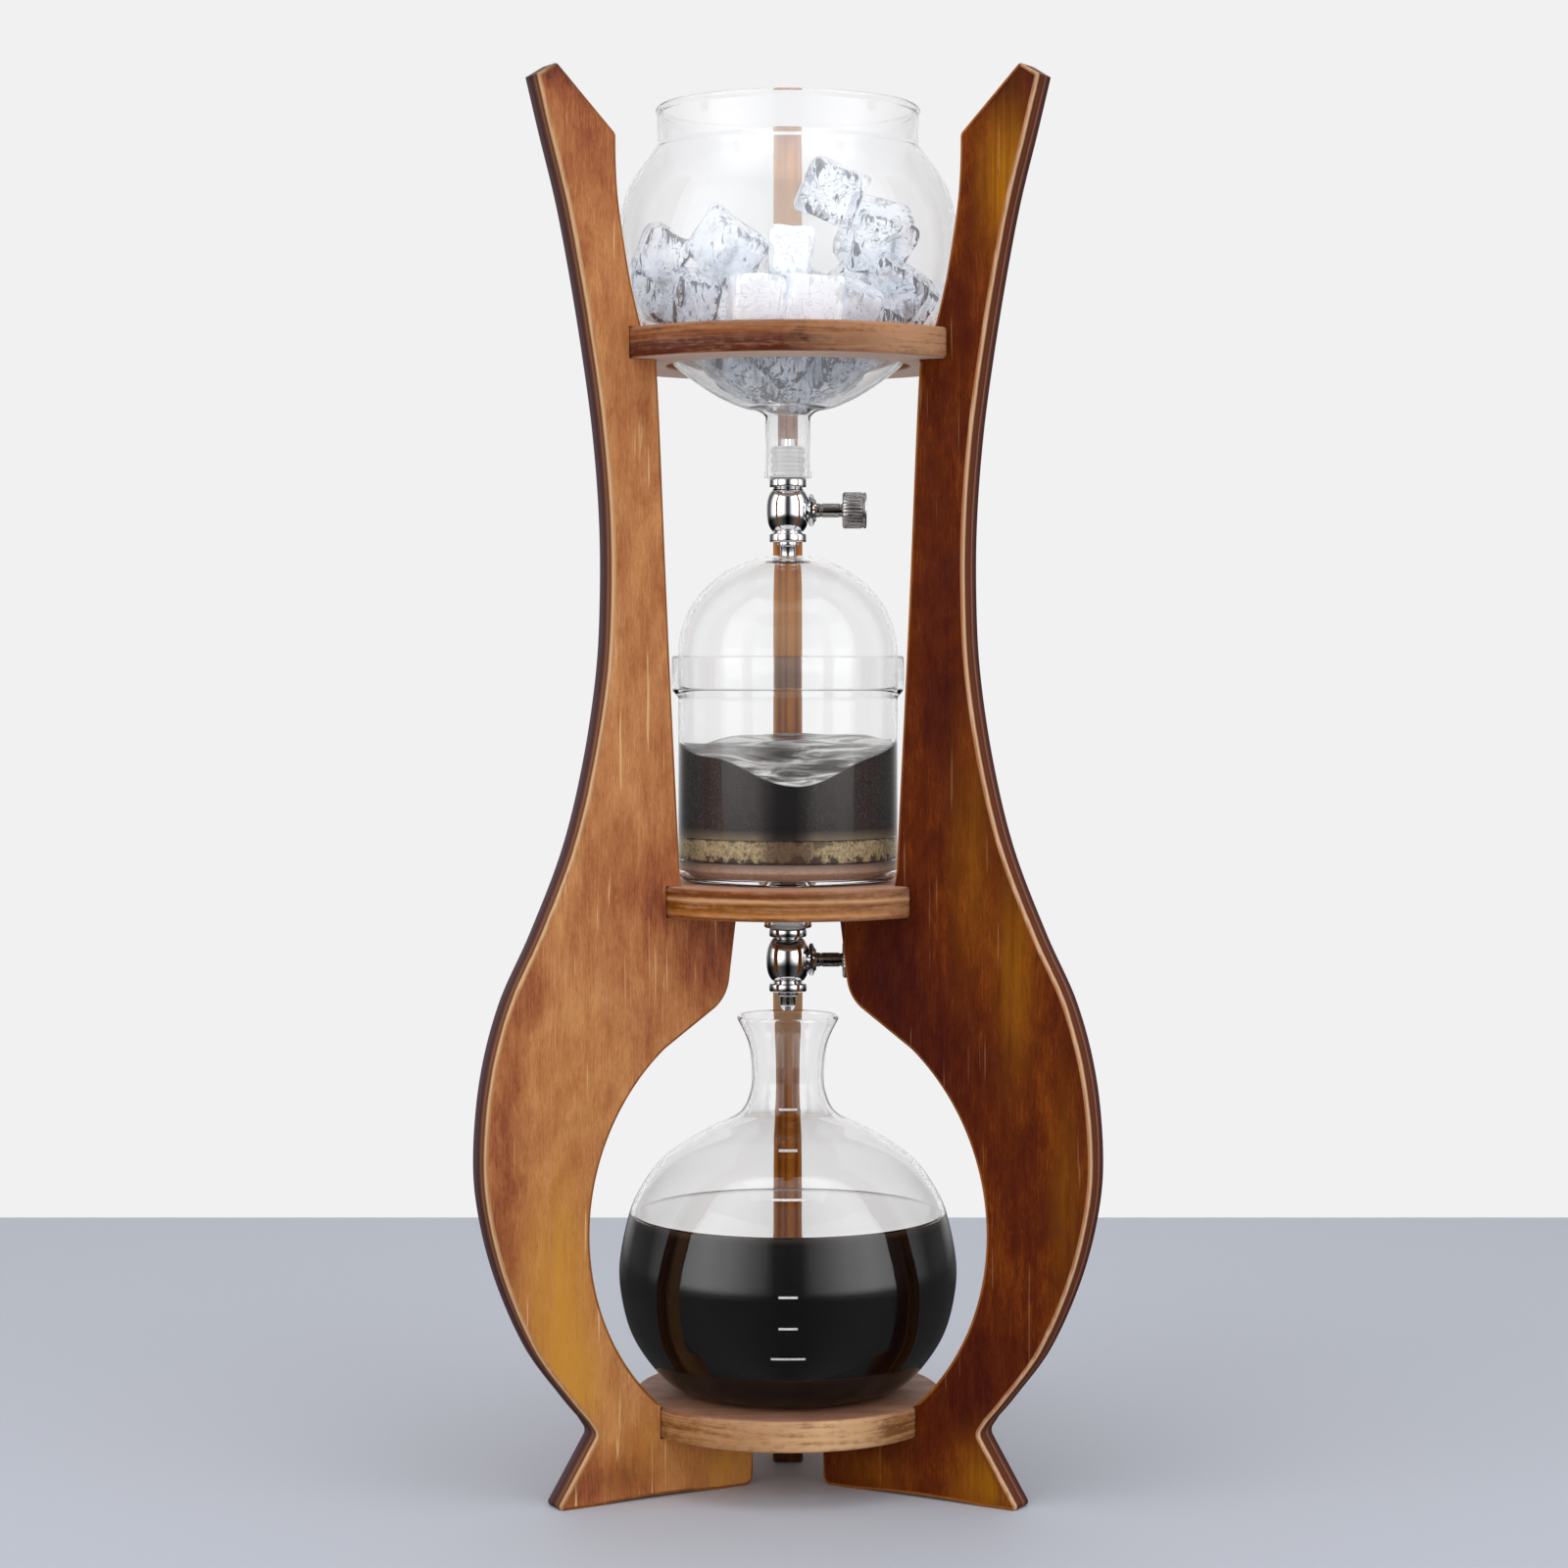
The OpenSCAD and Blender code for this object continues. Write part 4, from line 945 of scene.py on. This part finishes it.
def clearRubber():
    material, spot = newMaterial("clearRubber", {"Base Color": (0.95, 0.97, 0.97, 1),
        "Roughness": 0.30, "Transmission Weight": 0.35, "IOR": 1.41})
    haze = noise(spot, 420.0, 4, 0.6)
    give("Base Color", ramp(haze, [(0.3, 0.93, 0.95, 0.96, 1), (0.8, 0.99, 0.99, 0.99, 1)]))
    bumped(haze, 0.1, 0.0003)
    return material


siliconeSkin = clearRubber()


def makeStopper(side, body, lip):
    # a plug whose radius swells at each sealing rib: the mean plus half the groove's depth times a
    # rounded wave
    length, outer, inner = 12.5, vessel.neckR - vessel.wall - 0.05, valve.tailR + 0.05
    z = np.linspace(0, length, 71)
    wave = np.tanh(2.4 * np.cos(2 * math.pi * z / (length / 3.5))) / math.tanh(2.4)
    r = outer - 0.35 + 0.35 * wave
    r[0] -= 0.3
    r[-1] -= 0.3
    profile = np.vstack([[(inner, lip)], np.column_stack([r, lip + z]), [(inner, lip + length)]])
    lathePiece(side + "_plug", profile, siliconeSkin, body, [side + "_stopper"], 80,
        True)


makeStopper("upper", "globe", stack.globeLip)
makeStopper("lower", "chamber", stack.chamberLip)


def makeFilter():
    low, high = lowest("ceramic_filter"), highest("ceramic_filter")
    # both are wet, so they meet the glass without a line of air
    radius = vessel.chamberR - vessel.wall + 0.6
    profile = rounded([*steps(0, radius - 2, low, 6), (radius, low, 1, 6), (radius, high, 1, 6),
        *steps(radius - 2, 0, high, 6)])
    material, spot = newMaterial("porousCeramic", {"Roughness": 0.8})
    grit = noise(spot, 900.0, 4, 0.7)
    patch = noise(spot, (260, 260, 200), 4, 0.7)
    height = (axis(spot, 2) - low / 1000) / ((high - low) / 1000)
    base = ramp(grit, [(0.32, 104, 88, 62), (0.5, 160, 140, 104), (0.75, 204, 188, 150)])
    wet = ramp(height + (patch - 0.5) * 2.3, [(0.06, 1.0), (0.22, 0.0), (1.10, 0.0), (1.30, 0.7)])
    colour = mixColour(wet, base, tone(64, 52, 42))
    # painted shade: a darker brown band down the middle of the filter, from front to back
    shadedBand = ramp(abs(axis(spot, 0)), [(0.007, 0.85), (0.013, 0.0)])
    give("Base Color", mixColour(shadedBand, colour, tone(62, 34, 16)))
    bumped(grit, 0.5, 0.0005)
    lathePiece("filter_disc", profile, material, "chamber", ["ceramic_filter"],
        144)
    rubber, spot = newMaterial("gasketRubber", {"Base Color": tone(34, 31, 30), "Roughness": 0.5})
    dust = noise(spot, 500.0, 4, 0.6)
    low, high = lowest("filter_gasket"), highest("filter_gasket")
    rise = axis(spot, 2) - high / 1000 + (dust - 0.5) * 0.0010
    clean = ramp(dust, [(0.3, 150, 118, 100), (0.8, 186, 152, 130)])
    stained = ramp(rise + 0.003, [(0.0012, 0.0), (0.0022, 1.0)])
    give("Base Color", mixColour(stained, clean, tone(44, 36, 31)))
    bumped(dust, 0.2, 0.0003)
    outer, inner = radius, radius - 7
    cut = vessel.chamberRound - vessel.wall + 0.5
    foot = vessel.chamberR - vessel.chamberRound - 0.5
    profile = rounded([(inner, low), (foot, low), (outer, low + cut, 1.2, 5), (outer, high, 0.5, 4),
        (inner, high, 0.5, 4)])
    lathePiece("gasket_ring", profile, rubber, "chamber", ["filter_gasket"], 144,
        True)


makeFilter()

dowelWood, spot = newMaterial("dowelBeech", {"Roughness": 0.6})
give("Base Color", ramp(noise(spot, (300, 300, 300), 4, 0.6), [(0.3, 196, 160, 112),
    (0.7, 222, 190, 142)]))
for node in ("ring_dowels", "middle_dowels", "bottom_dowels"):
    coat(node, dowelWood)
print("stoppers, filter and dowels made")


# what the vessels hold

# the fills reach a little into the glass, so that no air shows between them and the wall
contents = Sizes(groundsTop=290.0, coffeeTop=104.0, wet=1.1, wetCoffee=1.6)


def fillProfile(inside, top, curl):
    # the vessel's inner line moved into the glass and cut at the liquid's level, with a rim that
    # curls up
    line = besideLine(inside, contents.wetCoffee)
    keep = line[line[:, 1] < top]
    edge = np.interp(top, line[:, 1], line[:, 0])
    rim = [(edge, top + curl), (edge - 0.8, top + curl * 0.7), (edge - 2.0, top + curl * 0.2),
        (edge - 4, top)]
    return np.vstack([keep, rim, steps(edge - 6, 0, top, 8)])


def makeCoffee():
    v, z, top = vessel, stack.flaskZ, contents.coffeeTop
    side = besideLine(flaskSide(), -v.wall)
    body = side[side[:, 1] < top + 6]
    start = np.array([(0, z + 2.8), (v.flaskBaseR - 15, z + 2.8), (v.flaskBaseR - 9, z + 2.2)])
    profile = np.vstack([start, fillProfile(body, top, 0.25)[2:]])
    material, spot = newMaterial("blackCoffee", {"Roughness": 0.05, "IOR": 1.34,
        "Specular IOR Level": 0.15})
    height = axis(spot, 2)
    share = maths("MULTIPLY", height - (top / 1000 - 0.014), 1 / 0.014, clamp=True)
    murk = noise(spot, 55.0, 3, 0.5)
    give("Base Color", ramp(share + (murk - 0.5) * 0.2, [(0.0, 9, 9, 11), (0.85, 15, 12, 12),
        (1.0, 50, 40, 34)]))
    bumped(murk, 0.02, 0.001)
    lathePiece("coffee_fill", profile, material, "flask", segments=144)
    # the coffee's surface: a thin sheet that mirrors the room
    edge = np.interp(top, side[:, 1], side[:, 0])
    surface = np.vstack([steps(0, edge - 2.5, top + 0.02, 8), [(edge - 0.4, top + 0.5)],
        steps(edge - 2.5, 0, top + 0.1, 8)])
    sheen, spot = newMaterial("coffeeSurface", {"Roughness": 0.04, "IOR": 1.34})
    foamAndSheen = noise(spot, 120.0, 4, 0.6)
    # seen flat on it is a mirror, seen from above it is dark
    facing = addNode("LayerWeight", {"Blend": 0.5}).outputs["Facing"]
    flat = ramp(facing, [(0.68, 0.0), (0.81, 1.0)])
    brown = ramp(foamAndSheen, [(0.3, 22, 12, 8), (0.7, 44, 26, 16)])
    give("Base Color", mixColour(flat, brown, tone(226, 225, 224)))
    give("Metallic", flat)
    bumped(foamAndSheen, 0.03, 0.0006)
    lathePiece("coffee_surface", surface, sheen, "flask", segments=144)


def makeTicks():
    # short enamel bars on the flask's front, bent round it a hair outside the glass
    ticks = Sizes(heights=(59, 71, 83, 118, 134, 147), long=6.5, short=3.6, tall=0.8)
    side = flaskSide()
    across = np.linspace(-1, 1, 13)
    allPoints, allFaces = [], []
    for k, z in enumerate(ticks.heights):
        half = ticks.long if k % 3 == 0 else ticks.short
        rows = z + ticks.tall * np.array([-0.5, 0.5, 0.5, -0.5])
        out = np.array([0.06, 0.06, -0.3, -0.3])
        r = (np.interp(rows, side[:, 1], side[:, 0]) + out)[:, None]
        x = half * across[None] + 0 * r
        y = -np.sqrt(r ** 2 - x ** 2)
        allPoints.append(np.stack([x, y, rows[:, None] + 0 * x], -1).reshape(-1, 3))
        sides = gridFaces(4, 13, True, False)
        ends = np.array([[0, 13, 26, 39], [12, 25, 38, 51]])
        allFaces.append(np.vstack([sides, ends]) + 52 * k)
    material, spot = newMaterial("whiteEnamel", {"Roughness": 0.4})
    worn = noise(spot, 900.0, 3, 0.6)
    give("Base Color", ramp(worn, [(0.3, 196, 194, 192), (0.6, 232, 231, 230)]))
    bumped(worn, 0.1, 0.0002)
    addPiece("flask_ticks", np.vstack(allPoints), np.vstack(allFaces), material, "flask",
        crease=40)


cloudyCubes = {4: 0.8, 8: 0.85, 9: 0.85, 10: 0.5, 3: 0.2}  # place in the list below: share
# x, y, z of the middle, half size, and turns about x, y and z in degrees
iceSpots = [(17.6, -14, 506, 12.2, 14, 22, 8), (35, -6, 489, 13.6, 30, 10, 20),
    (-50, -8, 482, 10.8, 15, 20, 15), (-24.5, -16, 484, 12.2, 35, 20, 40),
    (1, -22, 482, 10.2, 3, 3, 4), (41, -16, 468, 12.4, 20, 30, 10),
    (-52, -12, 465, 10.4, 10, 15, 30), (-37, -26, 463, 10.4, 25, 10, 20),
    (-12, -36, 461, 11, 4, 3, 6), (10, -37, 461, 11.4, 3, 4, 3), (27, -34, 460, 9, 30, 8, 20),
    (-48, 22, 468, 13, 12, 40, 30), (48, 20, 468, 12, 30, 30, 12), (0, 34, 474, 13, 20, 14, 48),
    (-26, 30, 472, 13, 42, 16, 14), (26, 34, 472, 13, 12, 44, 22), (-4, -24, 443, 13.5, 12, 34, 22),
    (20, -18, 438, 11, 30, 8, 30), (-20, -18, 437, 11, 14, 40, 8), (2, -6, 430, 9, 25, 15, 40),
    (36, -22, 450, 10, 12, 28, 44), (-36, -22, 449, 10, 38, 8, 26), (14, 14, 436, 12, 30, 8, 30),
    (-16, 14, 436, 12, 14, 40, 8)]


def turnAbout(axis, degrees):
    # the matrix of a turn about x, y or z
    a, b, angle = (axis + 1) % 3, (axis + 2) % 3, math.radians(degrees)
    spin = np.eye(3)
    spin[a, a] = spin[b, b] = math.cos(angle)
    spin[a, b], spin[b, a] = -math.sin(angle), math.sin(angle)
    return spin


def makeIce():
    # a sphere drawn out to a cube with rounded edges: each coordinate is a sine or cosine to a
    # small power, then pushed in and out by a few slow waves; the rim mark is 1 along the edges
    rows, cols, power = 30, 60, 0.24
    up = np.linspace(-math.pi / 2, math.pi / 2, rows)[:, None]
    turn = np.linspace(0, 2 * math.pi, cols, endpoint=False)[None]

    def drawn(value):
        return np.sign(value) * np.abs(value) ** power

    cube = np.stack([drawn(np.cos(up)) * drawn(np.cos(turn)), drawn(np.cos(up))
        * drawn(np.sin(turn)), drawn(np.sin(up)) + 0 * turn], -1)
    second = np.sort(np.abs(cube), axis=-1)[..., 1]
    rim = np.clip((second - 0.62) / 0.30, 0, 1)
    random = np.random.default_rng(11)
    bowl = besideLine(globeBowl(), -vessel.wall - 0.9)
    allPoints, allFaces = [], []
    cell = gridFaces(rows, cols, False, True)
    for k, (x, y, z, half, tx, ty, tz) in enumerate(iceSpots):
        waves = random.normal(size=(5, 3)) * 2.4
        phase = random.uniform(0, 6.3, 5)
        swell = 1 + 0.035 * np.sin(cube @ waves.T + phase).sum(-1)
        shape = cube * swell[..., None] * half * 0.95 * random.uniform(0.88, 1.04, 3)
        spin = turnAbout(2, tz) @ turnAbout(1, ty) @ turnAbout(0, tx)
        shape = shape @ spin.T + (x, y, z)
        # nothing stands through the glass: points are drawn in to the bowl's inside
        room = np.interp(shape[..., 2], bowl[20:, 1], bowl[20:, 0])
        r = np.hypot(shape[..., 0], shape[..., 1])
        shape[..., :2] *= np.minimum(1, room / np.maximum(r, 1e-6))[..., None]
        allPoints.append(shape.reshape(-1, 3))
        allFaces.append(cell + k * rows * cols)
    # the emission strength is a painted glow that lightens the ice
    material, spot = newMaterial("iceBlock", {"Transmission Weight": 0.55, "Roughness": 0.0,
        "IOR": 1.12, "Coat Weight": 1.0, "Coat IOR": 1.8, "Alpha": 0.6, "Emission Strength": 0.22})
    # dark strokes that run in from the cubes' edges, and fine contour lines that gather in patches
    fold = noise(spot, (80, 80, 130), 3, 0.5, 2.2)
    wave = abs(maths("SINE", fold * 21.0))
    patch = noise(spot, 75.0, 2, 0.5, 0.5)
    lines = ramp(wave, [(0.0, 1.0), (0.18, 0.8), (0.38, 0.0)]) * ramp(patch,
        [(0.50, 0.0), (0.55, 0.9)])
    stroke = noise(stretched(spot, (420, 420, 90), 0.6), 1.0, 3, 0.6, 1.2)
    broken = noise(spot, 95.0, 2, 0.5)
    reach = mark("rim") * ramp(broken, [(0.42, 0.25), (0.56, 1.0)])
    height = axis(spot, 2)
    strokes = stroke * 1.6 + reach * 0.30 + ramp(height, [(0.444, 0.12), (0.458, 0.0)])
    strokes = ramp(strokes - 0.5, [(0.48, 0.0), (0.54, 1.0)])
    ink = maths("MAXIMUM", lines, strokes)
    shade = ramp(noise(spot, 90.0, 3, 0.5, 1.0), [(0.40, 216, 229, 248), (0.56, 248, 252, 255)])
    cloudy = mark("cloudy")
    shade = mixColour(cloudy, shade, tone(252, 253, 255))
    ink = ink * (1.0 - cloudy * 0.85)
    # bluer and duller where the ring shades it
    low = ramp(height, [(0.430, 0.15), (0.440, 0.70), (0.458, 0.0)])
    low = low * ramp(patch, [(0.42, 0.35), (0.54, 1.0)])
    shade = mixColour(low, shade, tone(138, 160, 184))
    give("Base Color", mixColour(ink, shade, tone(26, 36, 58)))
    # painted glow: the ice gives off a faint light of its own, shut off at the ink and at the
    # shaded low part
    dim = maths("MAXIMUM", ink, low)
    give("Emission Color", mixColour(dim, tone(222, 234, 250), (0, 0, 0, 1)))
    dense = maths("MAXIMUM", ink, cloudy)
    give("Alpha", ramp(dense, [(0.0, 0.52), (0.8, 1.0)]))
    give("Transmission Weight", ramp(dense, [(0.0, 0.55), (1.0, 0.12)]))
    bumped(fold + wave * 0.12, 0.55, 0.003)
    addPiece("ice_cubes", np.vstack(allPoints), np.vstack(allFaces), material, "globe",
        crease=60, marks={"rim": np.tile(rim.ravel(), len(iceSpots)),
        "cloudy": np.repeat([cloudyCubes.get(k, 0.0) for k in range(len(iceSpots))], rows * cols)})


def makeGrounds():
    # a round plug whose top is a wave: high at the back and sides, low at the front
    radius = vessel.chamberR - vessel.wall + contents.wet
    low = highest("ceramic_filter") + 0.1
    share = np.linspace(0, 1, 30)
    angle = np.linspace(0, 2 * math.pi, 160, endpoint=False)
    r = share[:, None] * radius
    x, y = r * np.cos(angle), r * np.sin(angle)
    front = np.clip(-y / radius, -1, 1)
    top = contents.groundsTop - 15.5 * np.clip(front, 0, 1) ** 1.3 * np.exp(-((x - 5) / 38) ** 2)
    top = top + 1.6 * np.clip(-front, 0, 1) - 2.0 * np.clip(-front, 0,
        1) * np.exp(-((x + 34) / 14) ** 2)
    top = top + 1.1 * np.sin(x / 7 + 1.2) * np.cos(y / 9 + 0.4) - 1.4 * np.exp(-((x + 38) / 9) ** 2)
    side = [np.stack([radius * np.cos(angle), radius * np.sin(angle), low + (top[-1] - low) * k],
        -1) for k in np.linspace(0, 1, 14)]
    base = np.stack([0 * angle, 0 * angle, low + 0 * angle], -1)
    sheet = np.stack([x, y, top], -1)[::-1]
    points = np.concatenate([base[None], np.stack(side), sheet[1:]])
    material, spot = newMaterial("wetGrounds", {"Roughness": 0.35, "Specular IOR Level": 0.12})
    grit = noise(spot, 1300.0, 4, 0.7)
    swirl = noise(spot, (30, 60, 260), 4, 0.6, 1.2)
    dark = ramp(grit, [(0.3, 32, 28, 28), (0.55, 60, 54, 53), (0.8, 100, 93, 91)])
    # painted shade: a near-black band down the middle of the grounds, from front to back, which the
    # dust leaves alone
    middle = ramp(abs(axis(spot, 0) + 0.001), [(0.0065, 0.92), (0.011, 0.0)])
    dark = mixColour(middle, dark, tone(10, 8, 8))
    # pale dust from the filter reaches a little way up
    climb = axis(spot, 2) - low / 1000 + (grit - 0.5) * 0.004
    dust = ramp(climb, [(0.0, 0.6), (0.0010, 0.0)]) * (1.0 - middle)
    dark = mixColour(dust, dark, tone(142, 126, 102))
    # pale swirls on the wet top: foam, and a painted reflection of the room
    foamAndSheen = ramp(swirl, [(0.38, 58, 57, 56), (0.50, 150, 150, 148), (0.60, 246, 246, 244)])
    give("Base Color", mixColour(mark("foamAndSheen"), dark, foamAndSheen))
    give("Roughness", ramp(mark("foamAndSheen"), [(0.0, 0.42), (1.0, 0.12)]))
    bumped(grit * 0.4 + swirl, 0.3, 0.001)
    # the foam and painted reflection cover the top sheet, thinner at the front middle and at the
    # left
    foamAndSheenMark = np.zeros(points.shape[:2])
    sheetX, sheetY = points[15:, :, 0], points[15:, :, 1]
    foamAndSheenMark[15:] = np.clip(0.95 - 0.75 * np.exp(-((sheetX + 5) / 13) ** 2
        - ((sheetY + 12) / 16) ** 2) - 0.35 * np.exp(-((sheetX + 32) / 12) ** 2), 0, 1)
    addPiece("coffee_grounds", points, gridFaces(len(points), 160, False, True), material,
        "chamber", crease=50, marks={"foamAndSheen": foamAndSheenMark})


makeCoffee()
makeTicks()
makeIce()
makeGrounds()
print("vessels filled")
